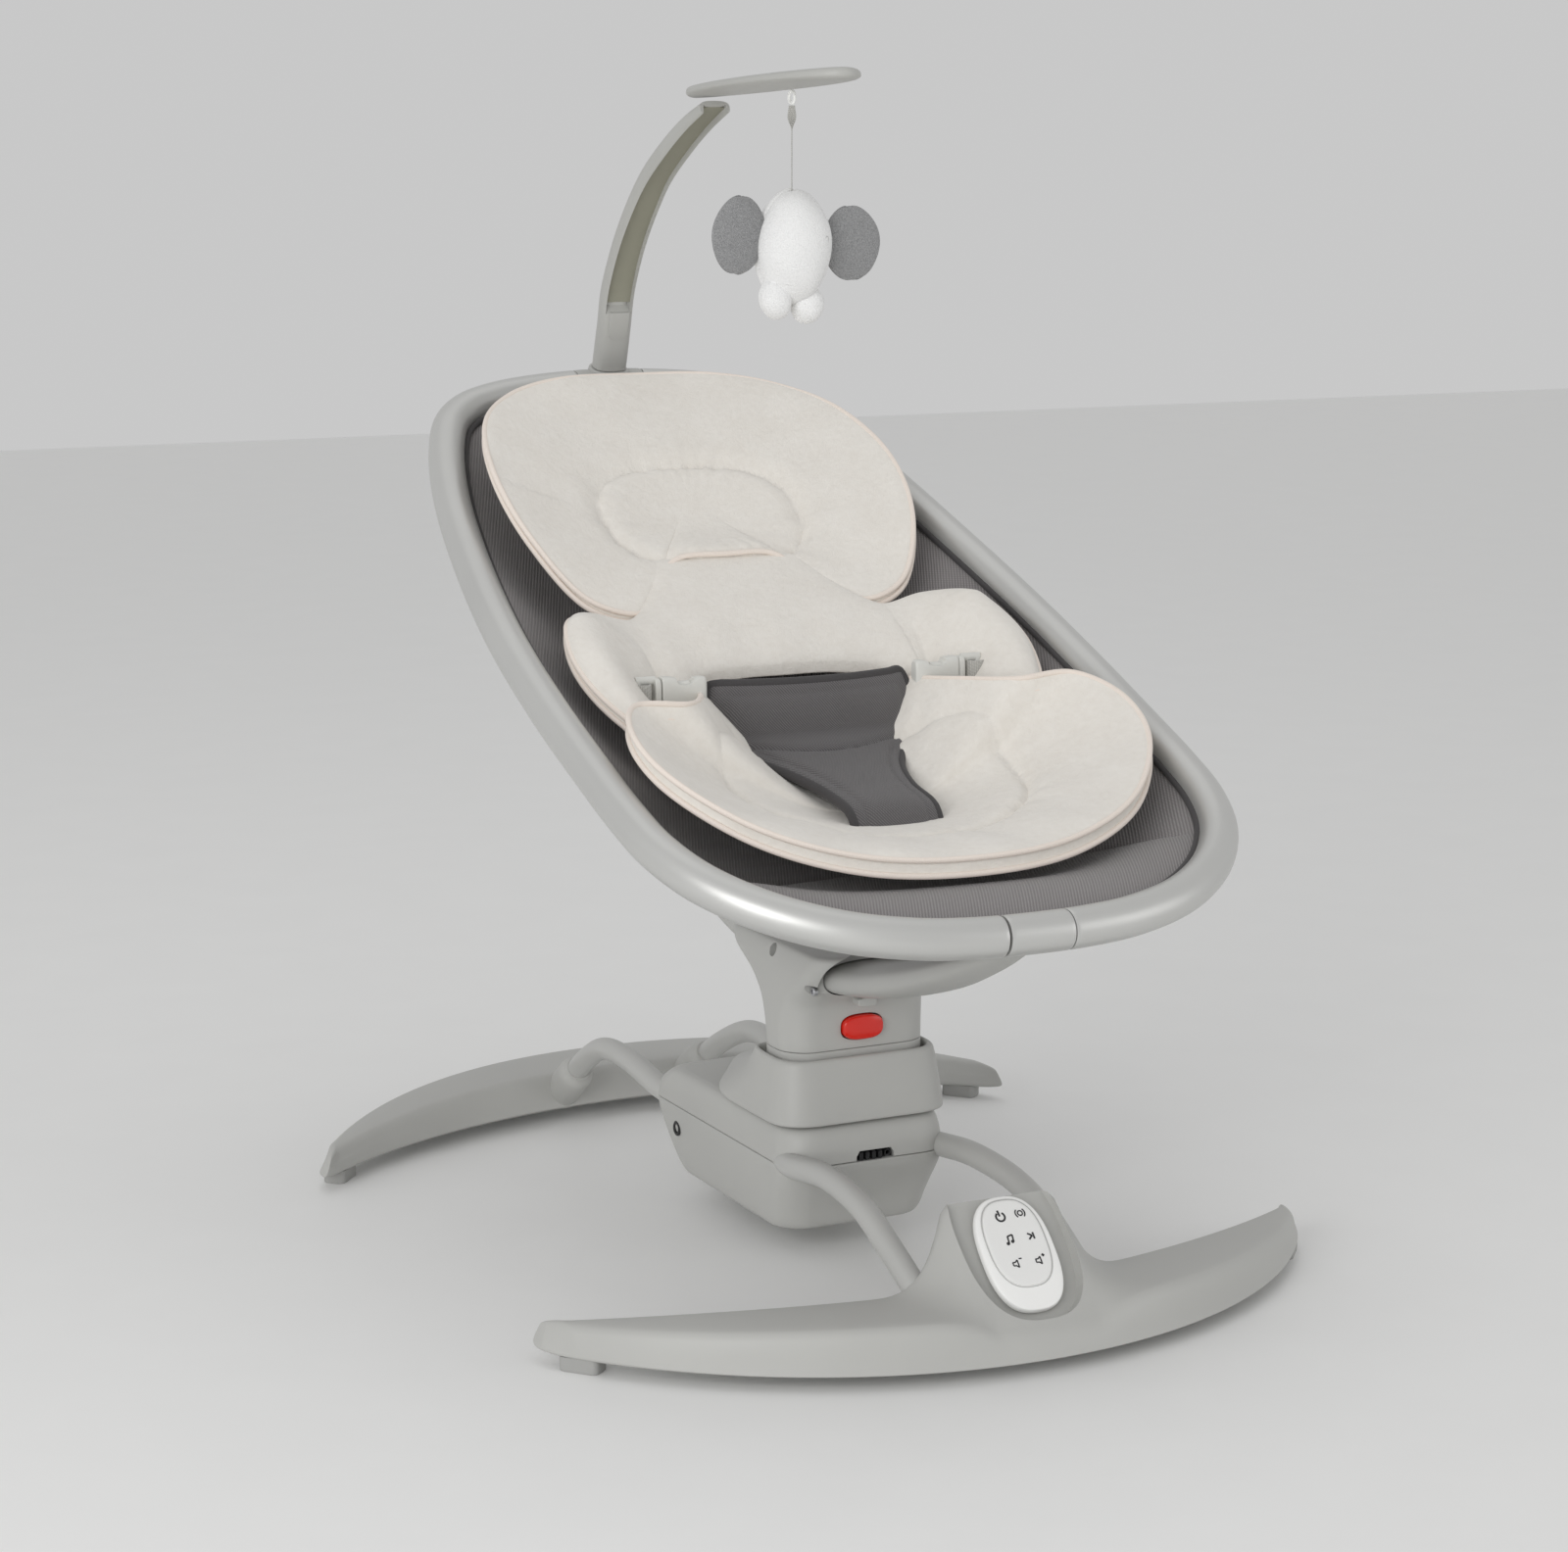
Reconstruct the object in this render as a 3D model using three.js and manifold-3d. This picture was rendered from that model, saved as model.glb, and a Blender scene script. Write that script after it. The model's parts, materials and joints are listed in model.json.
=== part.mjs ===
// Electric baby swing: a padded sling seat in a curved tube ring, carried by a curved spine beam in a
// plug-in hub. The hub stands on a swing arm that sways over a motor housing between two crescent feet.
// Millimetres. X is across the seat, -Y is the foot end, +Y the head end and +Z up. The floor is z = 0.
import * as THREE from 'three';
import { mergeVertices } from 'three/addons/utils/BufferGeometryUtils.js';
import Module from 'manifold-3d';

const wasm = await Module();
wasm.setup();

// ---- Driving dimensions ----
const gap = 0.3;
const padHeight = 8;
const footHalfLength = 270;
const footOuterRadius = 321;
const footOuterCentre = 30;
const footInnerRadius = 431;
const footInnerCentre = -150;
const footTipTop = 26;
const footMiddleTop = 39;
const legRadius = 8;
const housingHalf = 60;
const housingFront = -111;
const housingRear = 109;
const seamHeight = 68;
const deckHeight = 93;
const wall = 3;
const pivotY = 40;
const spindleRadius = 8;
const coverBottom = 94.3;
const coverTop = 135;
const collarTop = 140;
const hubTop = 208;
const postY = -71;
const buttonHeight = 154;
const reclineY = -63;
const reclineZ = 590;
const beamRadius = 403;
const beamHalfWidth = 33;
const beamHalfThickness = 11;
const ringTube = 12.5;
const ringBore = 11;
const joinerHalf = 22;
const dishDepth = 72;
const fabricThickness = 4;
const armTilt = THREE.MathUtils.degToRad(17.5);
const panelTilt = THREE.MathUtils.degToRad(47);
const panelCentre = new THREE.Vector3(0, -302.6, 61.9);
const hook = new THREE.Vector3(0, 6, 746);

// ---- Finishes ----
function finish(color, roughness, metalness = 0) {
  return new THREE.MeshStandardMaterial({ color, roughness, metalness });
}
const moulding = finish(0xb4b4b2, 0.55);
const silverPaint = finish(0xc6c6c4, 0.35, 0.4);
const steel = finish(0xb8babc, 0.3, 0.9);
const blackPlastic = finish(0x1c1c1e, 0.5);
const whitePlastic = finish(0xf5f5f3, 0.25);
const redPlastic = finish(0xe0200c, 0.3);
const rubber = finish(0x8e8e8c, 0.9);
const copper = finish(0xb87333, 0.4, 0.8);
const boardGreen = finish(0x1f5a3a, 0.6);
const greyKnit = finish(0x807c7c, 0.95);
const darkKnit = finish(0x696766, 0.95);
const plush = finish(0xf4f0ea, 0.95);
const greyPlush = finish(0x8c8c8c, 0.95);

// ---- Assembly ----
const swing = new THREE.Group();

function place(name, geometry, material) {
  const mesh = new THREE.Mesh(geometry, material);
  mesh.name = name;
  swing.add(mesh);
  return mesh;
}

// ---- Solids ----
// Turns indexed triangles into a geometry whose faces point outwards.
function closedGeometry(points, faces) {
  let volume = 0;
  for (const [a, b, c] of faces) {
    const [p, q, r] = [points[a], points[b], points[c]];
    volume += p.dot(new THREE.Vector3().crossVectors(q, r));
  }
  const index = volume > 0 ? faces.flat() : faces.map(([a, b, c]) => [a, c, b]).flat();
  const geometry = new THREE.BufferGeometry();
  geometry.setAttribute('position', new THREE.Float32BufferAttribute(points.flatMap((p) => p.toArray()), 3));
  geometry.setIndex(index);
  return geometry;
}

// A closed skin through rings of equal point count, with a fan over its first and last ring.
function skin(rings) {
  const count = rings[0].length;
  const points = rings.flat();
  const faces = [];
  for (let i = 0; i + 1 < rings.length; i++) {
    for (let j = 0; j < count; j++) {
      const a = i * count + j;
      const b = i * count + (j + 1) % count;
      faces.push([a, b, a + count], [b, b + count, a + count]);
    }
  }
  for (const [start, flip] of [[0, true], [(rings.length - 1) * count, false]]) {
    const centre = new THREE.Vector3();
    for (let j = 0; j < count; j++) centre.addScaledVector(points[start + j], 1 / count);
    const hub = points.push(centre) - 1;
    for (let j = 0; j < count; j++) {
      const a = start + j;
      const b = start + (j + 1) % count;
      faces.push(flip ? [b, a, hub] : [a, b, hub]);
    }
  }
  return closedGeometry(points, faces);
}

function toSolid(source) {
  const geometry = source.clone();
  geometry.deleteAttribute('normal');
  geometry.deleteAttribute('uv');
  const merged = mergeVertices(geometry, 1e-4);
  return new wasm.Manifold(new wasm.Mesh({
    numProp: 3,
    vertProperties: new Float32Array(merged.attributes.position.array),
    triVerts: new Uint32Array(merged.index.array),
  }));
}

// Keeps the largest body, so the slivers left where two flat faces coincide are dropped.
function toGeometry(solid) {
  const body = solid.decompose().reduce((most, other) => (other.volume() > most.volume() ? other : most));
  const mesh = body.getMesh();
  const geometry = new THREE.BufferGeometry();
  geometry.setAttribute('position', new THREE.BufferAttribute(mesh.vertProperties, 3));
  geometry.setIndex(new THREE.BufferAttribute(mesh.triVerts, 1));
  return geometry;
}

function cut(base, ...tools) {
  return toGeometry(tools.reduce((solid, tool) => solid.subtract(toSolid(tool)), toSolid(base)));
}

function join(base, ...others) {
  return toGeometry(others.reduce((solid, other) => solid.add(toSolid(other)), toSolid(base)));
}

function block(x0, x1, y0, y1, z0, z1) {
  const geometry = new THREE.BoxGeometry(x1 - x0, y1 - y0, z1 - z0);
  return geometry.translate((x0 + x1) / 2, (y0 + y1) / 2, (z0 + z1) / 2);
}

// An upright cylinder between two heights.
function drum(x, y, z0, z1, radius, sides = 24) {
  const geometry = new THREE.CylinderGeometry(radius, radius, z1 - z0, sides);
  return geometry.rotateX(Math.PI / 2).translate(x, y, (z0 + z1) / 2);
}

// A cylinder from one point to another.
function rod(from, to, radius, sides = 16) {
  const axis = new THREE.Vector3().subVectors(to, from);
  const geometry = new THREE.CylinderGeometry(radius, radius, axis.length(), sides);
  const upright = new THREE.Vector3(0, 1, 0);
  const turn = new THREE.Quaternion().setFromUnitVectors(upright, axis.clone().normalize());
  return geometry.applyQuaternion(turn).translate(...from.clone().add(to).multiplyScalar(0.5).toArray());
}

function tube(curve, radius, steps, sides) {
  const circle = new THREE.Shape();
  for (let i = 0; i < sides; i++) {
    const angle = (2 * Math.PI * i) / sides;
    const [x, y] = [radius * Math.cos(angle), radius * Math.sin(angle)];
    if (i === 0) circle.moveTo(x, y);
    else circle.lineTo(x, y);
  }
  const along = { steps, bevelEnabled: false, extrudePath: curve, curveSegments: 1 };
  return new THREE.ExtrudeGeometry(circle, along);
}

// A level rounded rectangle at height z.
function roundedRing(half, front, rear, radius, z, arc = 4) {
  const ring = [];
  const corners = [[half, rear, 0], [-half, rear, 1], [-half, front, 2], [half, front, 3]];
  for (const [x, y, quarter] of corners) {
    const cx = x - Math.sign(x) * radius;
    const cy = y === rear ? rear - radius : front + radius;
    for (let i = 0; i <= arc; i++) {
      const angle = (quarter + i / arc) * Math.PI / 2;
      ring.push(new THREE.Vector3(cx + radius * Math.cos(angle), cy + radius * Math.sin(angle), z));
    }
  }
  return ring;
}

function mirrored(geometry, side) {
  if (side > 0) return geometry;
  const copy = geometry.clone();
  copy.scale(-1, 1, 1);
  const index = copy.index.array;
  for (let i = 0; i < index.length; i += 3) [index[i], index[i + 1]] = [index[i + 1], index[i]];
  return copy;
}

const sides = [[-1, 'left'], [1, 'right']];

// ---- Legs: four bent steel tubes from the housing down to the feet ----
function legPath(points) {
  return new THREE.CatmullRomCurve3(points.map((p) => new THREE.Vector3(...p)), false, 'centripetal');
}
const frontLeg = [
  [50, -82, 68], [55, -106, 70], [54, -153, 75], [56, -205, 70], [57, -240, 57], [56, -292, 30],
];
const rearLeg = [[48, 84, 66], [52, 108, 70], [56, 150, 79], [57, 190, 78], [54, 232, 60], [50, 288, 22]];
const legs = [['front', frontLeg], ['rear', rearLeg]];
const legSteps = 16;
const legSides = 10;

function legTube(points, side, radius) {
  return tube(legPath(points.map(([x, y, z]) => [side * x, y, z])), radius, legSteps, legSides);
}

// ---- Feet: two crescents, the front one with a hump that carries the control panel ----
function humpShare(x) {
  const flare = Math.max(0, Math.min(1, (92 - Math.abs(x)) / 56));
  return flare ** 3.2;
}

function footSection(x, end) {
  const outer = footOuterCentre + Math.sqrt(footOuterRadius ** 2 - x * x);
  const inner = footInnerCentre + Math.sqrt(footInnerRadius ** 2 - x * x);
  const top = footMiddleTop - (footMiddleTop - footTipTop) * Math.abs(x / footHalfLength) ** 3;
  const edge = Math.min(1, (outer - inner) / 30);
  const plain = [
    [outer, padHeight], [outer - 1.5 * edge, 14], [outer - 4 * edge, top - 9], [outer - 7 * edge, top - 4],
    [outer - 13 * edge, top], [inner + 8 * edge, top], [inner + 3 * edge, top - 3], [inner + edge, top - 9],
    [inner, 18], [inner, padHeight],
  ];
  const humped = [
    [outer, padHeight], [outer - 1.5, 14], [outer - 4, 20], [outer - 8, 26],
    [outer - 14, 31], [281, 86], [274, 90], [267, 84], [276, 30], [inner, padHeight],
  ];
  const share = end < 0 ? humpShare(x) : 0;
  return plain.map(([y, z], i) => {
    const [hy, hz] = humped[i];
    return new THREE.Vector3(x, end * (y + (hy - y) * share), z + (hz - z) * share);
  });
}

function foot(end) {
  const stations = [270, 262, 246, 225, 200, 170, 140, 115, 95, 84, 74, 65, 57, 50, 43, 38, 20];
  const along = [...stations, 0, ...stations.map((x) => -x).reverse()];
  const rings = along.map((x) => footSection(x, end));
  for (const tip of [rings[0], rings[rings.length - 1]]) {
    const middle = tip.reduce((sum, p) => sum.add(p), new THREE.Vector3()).divideScalar(tip.length);
    tip.forEach((p) => p.lerp(middle, 0.18));
  }
  return skin(rings);
}

function ovalOutline(halfX, halfY, count = 32, power = 2.6) {
  const outline = [];
  for (let i = 0; i < count; i++) {
    const angle = (2 * Math.PI * i) / count;
    const [c, s] = [Math.cos(angle), Math.sin(angle)];
    outline.push([
      halfX * Math.sign(c) * Math.abs(c) ** (2 / power),
      halfY * Math.sign(s) * Math.abs(s) ** (2 / power),
    ]);
  }
  return outline;
}

// A plate in the control panel's plane, between two heights above its face, shifted up the slope.
function panelPlate(halfX, halfY, low, high, shift = 0) {
  const up = new THREE.Vector3(0, Math.cos(panelTilt), Math.sin(panelTilt));
  const out = new THREE.Vector3(0, -Math.sin(panelTilt), Math.cos(panelTilt));
  const across = new THREE.Vector3(1, 0, 0);
  const rings = [low, high].map((height) => ovalOutline(halfX, halfY).map(([a, b]) => (
    panelCentre.clone().addScaledVector(across, a).addScaledVector(up, b + shift).addScaledVector(out, height)
  )));
  return skin(rings);
}

const legHoles = (points) => sides.map(([side]) => legTube(points, side, legRadius + gap));
const collarFrom = new THREE.Vector3(52, 252, 47);
const collarTo = new THREE.Vector3(50.5, 284, 24.5);
const collars = sides.map(([side]) => mirrored(toGeometry(toSolid(rod(collarFrom, collarTo, 13, 20))), side));
place('front_foot', cut(foot(-1), panelPlate(38, 56, -6.5, 30, 9), ...legHoles(frontLeg)), moulding);
place('rear_foot', cut(join(foot(1), ...collars), ...legHoles(rearLeg)), moulding);

for (const [end, endName] of [[-1, 'front'], [1, 'rear']]) {
  for (const [side, sideName] of sides) {
    const geometry = skin([
      roundedRing(13, -8, 8, 4, 0, 3), roundedRing(13, -8, 8, 4, padHeight - gap, 3),
    ]);
    geometry.rotateZ(side * end * -0.85).translate(side * 249, end * 217, 0);
    place(`${endName}_${sideName}_pad`, geometry, rubber);
  }
}

for (const [end, points] of legs) {
  for (const [side, name] of sides) place(`${end}_${name}_leg`, legTube(points, side, legRadius), moulding);
}

// ---- Control panel: a white oval body with a touch membrane ----
place('control_panel', panelPlate(25, 38.3, -5.5, 0), whitePlastic);
place('panel_membrane', panelPlate(19.5, 28.5, gap, 1.1, 6), whitePlastic);

// ---- Motor housing: a lower tub and an upper cover, split at the seam ----
function tub(inset) {
  const rings = [
    [50, -86, 72, 20, 19], [54, -91, 80, 20, 22], [57, -97, 94, 22, 38], [housingHalf, -110, 107, 22, 60],
    [housingHalf, housingFront, housingRear, 22, seamHeight],
  ];
  return skin(rings.map(([half, front, rear, radius, z], i) => roundedRing(
    half - inset, front + inset, rear - inset, radius - inset,
    z + (i === 0 ? inset : 0) + (i === rings.length - 1 && inset ? 1 : 0),
  )));
}

function lid(inset) {
  const rings = [
    [housingHalf, housingFront, housingRear, 22, seamHeight + gap], [59.5, -110.5, 106, 22, 80],
    [58, -108, 94, 22, 88], [56, -105, 84, 20, 91.5], [52, -101, 78, 18, deckHeight],
  ];
  return skin(rings.map(([half, front, rear, radius, z], i) => roundedRing(
    half - inset, front + inset, rear - inset, radius - inset,
    z - (i === rings.length - 1 ? inset : 0) - (i === 0 && inset ? 1 : 0),
  )));
}

const allLegHoles = [...legHoles(frontLeg), ...legHoles(rearLeg)];
const portHole = block(-11, 16.5, -121, -101, 60, 75);
const jackHole = rod(new THREE.Vector3(-66, 63, 52), new THREE.Vector3(-49, 63, 52), 5 + gap, 20);
place('housing_lower', cut(tub(0), tub(wall), jackHole, portHole, ...allLegHoles), moulding);
const spindleHole = drum(0, pivotY, 80, 100, 12);
place('housing_upper', cut(lid(0), lid(wall), spindleHole, portHole, ...allLegHoles), moulding);
place('power_inlet', cut(
  rod(new THREE.Vector3(-60, 63, 52), new THREE.Vector3(-46, 63, 52), 5, 20),
  rod(new THREE.Vector3(-64, 63, 52), new THREE.Vector3(-50, 63, 52), 3.3, 16),
), blackPlastic);
const portSlots = [-8, -3.5, 1, 5.5].map((x) => block(x, x + 2.5, -116, -105, 63, 72.5));
place('port_block', cut(
  block(-11 + gap, 16.5 - gap, -109.5, -101, 60 + gap, 75 - gap), ...portSlots,
  rod(new THREE.Vector3(12.2, -116, 68), new THREE.Vector3(12.2, -104, 68), 2.4, 16),
), blackPlastic);

const clamps = [['front', frontLeg, 45, -91, -76], ['rear', rearLeg, 43, 79, 92]];
for (const [end, points, half, y0, y1] of clamps) {
  const holes = sides.map(([side]) => legTube(points, side, legRadius + 2 * gap));
  place(`${end}_leg_clamp`, cut(block(-half, half, y0, y1, 58, 78), ...holes), blackPlastic);
}

// The block leaves a window between its bearings, where the magnet arm turns with the spindle.
place('bearing_block', cut(
  join(
    block(-26, 26, 18, 62, 22.5, 50), block(-20, 20, 55, 62, 50, 86), drum(0, pivotY, 66, 86, 21, 32),
  ),
  drum(0, pivotY, 30, 48, 13, 32), drum(0, pivotY, 72, 90, 13, 32),
  drum(0, pivotY, 25, 90, spindleRadius + 1),
), blackPlastic);
for (const [name, z] of [['lower', 38], ['upper', 76]]) {
  place(`${name}_bearing`, cut(
    drum(0, pivotY, z, z + 9, 13 - gap, 32), drum(0, pivotY, z - 2, z + 11, spindleRadius + gap, 24),
  ), steel);
}
place('drive_coil', cut(drum(0, -45, 24, 40, 26, 32), drum(0, -45, 20, 45, 9, 20)), copper);
place('main_board', block(-30, 30, -12, 14, 30, 32), boardGreen);
place('speaker', cut(drum(0, 76, 42, 54, 11.5, 24), drum(0, 76, 49, 60, 9, 24)), blackPlastic);

// ---- Swing arm: turns on the spindle and carries the post under its wedge-shaped cover ----
// A level ring with eased corners, whose rear end narrows over the length of its tail.
function tailRing(half, front, rear, ease, tail, z) {
  const nose = half - tail * 0.68;
  const corners = [
    [half, front], [half, rear - tail], [nose, rear], [-nose, rear], [-half, rear - tail], [-half, front],
  ].map(([x, y]) => new THREE.Vector3(x, y, z));
  return corners.flatMap((corner, i) => {
    const [before, after] = [corners[(i + 5) % 6], corners[(i + 1) % 6]].map((other) => {
      const run = other.clone().sub(corner);
      return corner.clone().addScaledVector(run, Math.min(ease, 0.45 * run.length()) / run.length());
    });
    return new THREE.QuadraticBezierCurve3(before, corner, after).getPoints(4);
  });
}

function cover(inset) {
  const rings = [
    [62.5, -110, 76, 27, 80, coverBottom], [62, -109.5, 66, 27, 76, 98.5], [61, -108, 32, 26, 62, 110],
    [59.5, -105.5, 0, 25, 46, 122], [58, -103.4, -32, 24, 20, 132], [56.5, -102, -40, 23, 12, coverTop],
  ];
  return skin(rings.map(([half, front, rear, ease, tail, z], i) => tailRing(
    half - inset, front + inset, rear - inset - (inset ? 3 : 0), ease - inset / 2, tail,
    z - (i === rings.length - 1 ? inset : 0) - (i === 0 && inset ? 2 : 0),
  )));
}

function postRing(grow, z) {
  return roundedRing(51.5 + grow, -96 - grow, -46 + grow, 20 + grow, z);
}
const collarHole = skin([postRing(gap * 2, 120), postRing(gap * 2, 150)]);
place('swing_cover', cut(cover(0), cover(wall), collarHole), moulding);
place('post_collar', cut(
  skin([postRing(0, 112), postRing(0, collarTop - gap)]),
  skin([postRing(-8, 108), postRing(-8, 145)]),
), moulding);

function column(grow, z0, z1) {
  return skin([z0, z1].map((z) => roundedRing(28 + grow, postY - 17 - grow, postY + 17 + grow, 14 + grow, z)));
}
place('swing_arm', join(
  block(-28, 28, -98, 20, 95.5, 101), block(-12, 12, 15, pivotY, 95.5, 99), drum(0, pivotY, 95.5, 99, 12),
  skin([postRing(-2, 95.5), postRing(-2, 111.5)]), column(0, 110, 172),
), steel);
place('spindle', join(drum(0, pivotY, 34, 95.2, spindleRadius), drum(0, pivotY, 92.8, 95.2, 10)), steel);
place('magnet_arm', cut(
  join(
    block(-10, 10, -66, 32, 55, 60), block(-16, 16, -62, -30, 44, 60), drum(0, pivotY, 54, 62, 14, 28),
  ),
  drum(0, pivotY, 50, 66, spindleRadius + gap, 24),
), steel);

// ---- Seat hub: plugs down over the post, carries the spine beam in a curved slot ----
function beamPoint(y, radius = beamRadius) {
  return new THREE.Vector3(0, y, reclineZ - Math.sqrt(radius ** 2 - (y - reclineY) ** 2));
}

function ovalSection(centre, out, halfX, halfOut, power = 2.6, count = 16) {
  return ovalOutline(halfX, halfOut, count, power).map(([a, b]) => (
    centre.clone().add(new THREE.Vector3(a, 0, 0)).addScaledVector(out, b)
  ));
}

// The beam's straight working length follows the recline arc, and its ends run up to the ring.
function beamRings(grow, from, to, steps) {
  const rings = [];
  for (let i = 0; i <= steps; i++) {
    const centre = beamPoint(from + (to - from) * i / steps);
    const out = new THREE.Vector3(0, reclineY, reclineZ).sub(centre).normalize();
    rings.push(ovalSection(centre, out, beamHalfWidth + grow, beamHalfThickness + grow));
  }
  return rings;
}

const hubRings = [
  [51.5, -96, -46, 20, collarTop], [51.5, -96, -45, 20, 152], [51.5, -96.5, -42, 20, 163],
  [50.8, -98, -37, 20, 171], [50, -104, -29, 20, 178], [49.3, -111, -20, 20, 184], [48.6, -117, -7, 20, 190],
  [47.8, -122, 8, 20, 196], [46, -125, 15, 20, 203], [42, -122, 11, 18, hubTop],
];
const buttonHole = (grow) => {
  const rings = [-110, -84].map((y) => ovalOutline(14.5 + grow, 8 + grow, 28, 2.8)
    .map(([a, b]) => new THREE.Vector3(a, y, buttonHeight + b)));
  return skin(rings);
};
const latchSlot = block(-9, 5, -112, -80, 169.5, 176.5);
const screwSpots = [[-60, 202], [-108, 184]];
const screwWells = sides.flatMap(([side]) => screwSpots.map(([y, z]) => rod(
  new THREE.Vector3(side * 38, y, z), new THREE.Vector3(side * 60, y, z), 3.4, 14,
)));
place('hub', cut(
  skin(hubRings.map((ring) => roundedRing(...ring))), skin(beamRings(0.6, -175, 75, 14)),
  column(0.5, 130, 173), buttonHole(gap), latchSlot, ...screwWells,
), moulding);
for (const [side, name] of sides) {
  screwSpots.forEach(([y, z], i) => place(`${name}_hub_screw_${i + 1}`, rod(
    new THREE.Vector3(side * 38.4, y, z), new THREE.Vector3(side * 42, y, z), 3, 12,
  ), steel));
}

place('release_button', (() => {
  const outline = (shrink, y) => ovalOutline(14.5 - shrink, 8 - shrink, 28, 2.8)
    .map(([a, b]) => new THREE.Vector3(a, y, buttonHeight + b));
  return skin([outline(0.4, -93.5), outline(0.4, -97.6), outline(1.6, -99.2), outline(4, -99.8)]);
})(), redPlastic);
place('recline_latch', block(-9 + gap, 5 - gap, -109, -93, 170, 176), moulding);

// ---- Ring: two half loops of round tube between a foot joiner and a head joiner ----
// The ring's right half in plan, from the head end to the foot end.
const ringPlan = [
  [0, 309], [49, 306], [89, 299], [116, 289], [134, 274], [149, 246], [166, 194], [181, 119], [192, 33],
  [196, -49], [196, -115], [195, -164], [191, -202], [178, -237], [152, -269], [115, -294], [73, -308], [35, -313],
  [0, -314],
];

// The ring lies in a plane that leans back, and curls up a little towards the head end.
function ringHeight(y) {
  const run = (y + 10.6) / 300;
  return 383.4 + 0.4228 * (y + 10.6) + 12.4 * run ** 2 + 7.1 * run ** 3;
}
const ringLoop = new THREE.CatmullRomCurve3(
  [...ringPlan, ...ringPlan.slice(1, -1).map(([x, y]) => [-x, y]).reverse()]
    .map(([x, y]) => new THREE.Vector3(x, y, ringHeight(y))),
  true, 'centripetal',
);
const loopLength = ringLoop.getLength();

// A stretch of the ring between two distances along it, measured from the head end.
function ringStretch(from, to, count) {
  const points = [];
  for (let i = 0; i <= count; i++) {
    const share = (from + (to - from) * i / count) / loopLength;
    points.push(ringLoop.getPointAt((share + 1) % 1));
  }
  return new THREE.CatmullRomCurve3(points, false, 'centripetal');
}
const headHalf = 26;
const spigot = 26;
const footMiddle = loopLength / 2;
const ringSteps = 36;
function halfRing(radius, extra, sideCount) {
  const stretch = ringStretch(headHalf - extra, footMiddle - joinerHalf + extra, ringSteps);
  return tube(stretch, radius, ringSteps, sideCount);
}
const ringTubeRight = cut(halfRing(ringTube, -1, 14), halfRing(ringBore, 2, 8));
for (const [side, name] of sides) place(`${name}_ring_tube`, mirrored(ringTubeRight, side), silverPaint);

// A joiner's spigots reach into both ring tubes, whose bores have eight flats.
function joiner(middle, half) {
  const reach = half + spigot;
  const spigotRadius = ringBore * Math.cos(Math.PI / 8) - 2 * gap;
  return join(
    tube(ringStretch(middle - half, middle + half, 6), ringTube, 6, 14),
    tube(ringStretch(middle - reach, middle + reach, 12), spigotRadius, 12, 8),
  );
}
const armAxis = new THREE.Vector3(0, -Math.sin(armTilt), Math.cos(armTilt));
const headEnd = ringLoop.getPointAt(0);
const alongArm = (distance) => headEnd.clone().addScaledVector(armAxis, distance);
const beamHead = new THREE.Vector3(0, 303, 531);
place('head_joiner', cut(
  join(joiner(0, headHalf), rod(alongArm(0), alongArm(14), 15, 28)),
  rod(alongArm(-6), alongArm(20), 8 + gap, 24),
), moulding);
place('foot_joiner', joiner(footMiddle, joinerHalf), moulding);

// ---- Spine beam: a flat oval beam under the seat, from joiner to joiner ----
function spineBeam() {
  const middle = beamRings(0, -175, 75, 14);
  const foot = [[-205, 28, 10, 1], [-235, 22, 8.5, 2.5], [-262, 17, 7, 5.5], [-283, 13, 6, 8], [-300, 11, 5, 10]];
  const head = [[110, 29, 10.5, 1], [150, 25, 10, 3], [190, 21, 9, 4], [225, 18, 9, 4], [255, 16, 9, 4]];
  const ringAt = ([y, halfX, halfOut, drop = 0]) => {
    const centre = beamPoint(y, beamRadius + drop);
    const out = new THREE.Vector3(0, reclineY, reclineZ).sub(centre).normalize();
    return ovalSection(centre, out, halfX, halfOut);
  };
  const upper = [[288, 392, 15], [305, 440, 13], [312, 485, 12], [311, 515, 11], [309, 536, 11]];
  const top = upper.map(([y, z, halfX], i) => {
    const lean = THREE.MathUtils.degToRad([52, 68, 82, 92, 92][i]);
    const out = new THREE.Vector3(0, -Math.sin(lean), Math.cos(lean));
    return ovalSection(new THREE.Vector3(0, y, z), out, halfX, 8);
  });
  return skin([...foot.map(ringAt).reverse(), ...middle, ...head.map(ringAt), ...top]);
}
place('spine_beam', cut(
  spineBeam(), tube(ringStretch(footMiddle - 60, footMiddle + 60, 12), ringTube + gap, 12, 14),
  tube(ringStretch(-60, 60, 12), ringTube + gap, 12, 14), rod(alongArm(-4), alongArm(30), 15 + gap, 28),
), moulding);

// ---- Sling: a padded knit dish hung in the ring ----
const dishCentre = new THREE.Vector2(0, -20);
const dishTurns = 36;
function insetPlan(angleIndex, inset) {
  const share = angleIndex / dishTurns;
  const point = ringLoop.getPointAt(share);
  const tangent = ringLoop.getTangentAt(share);
  const inwards = new THREE.Vector2(tangent.y, -tangent.x).normalize();
  if (inwards.dot(new THREE.Vector2(dishCentre.x - point.x, dishCentre.y - point.y)) < 0) inwards.negate();
  return new THREE.Vector2(point.x, point.y).addScaledVector(inwards, inset);
}

// The dish is shallow near the foot end, where the beam runs up to the ring under it.
function dishHeight(share, y) {
  const depth = dishDepth * (0.35 + 0.65 * THREE.MathUtils.smoothstep(y, -300, -190));
  return ringHeight(y) - 2 - depth * (1 - share ** 3);
}

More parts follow.
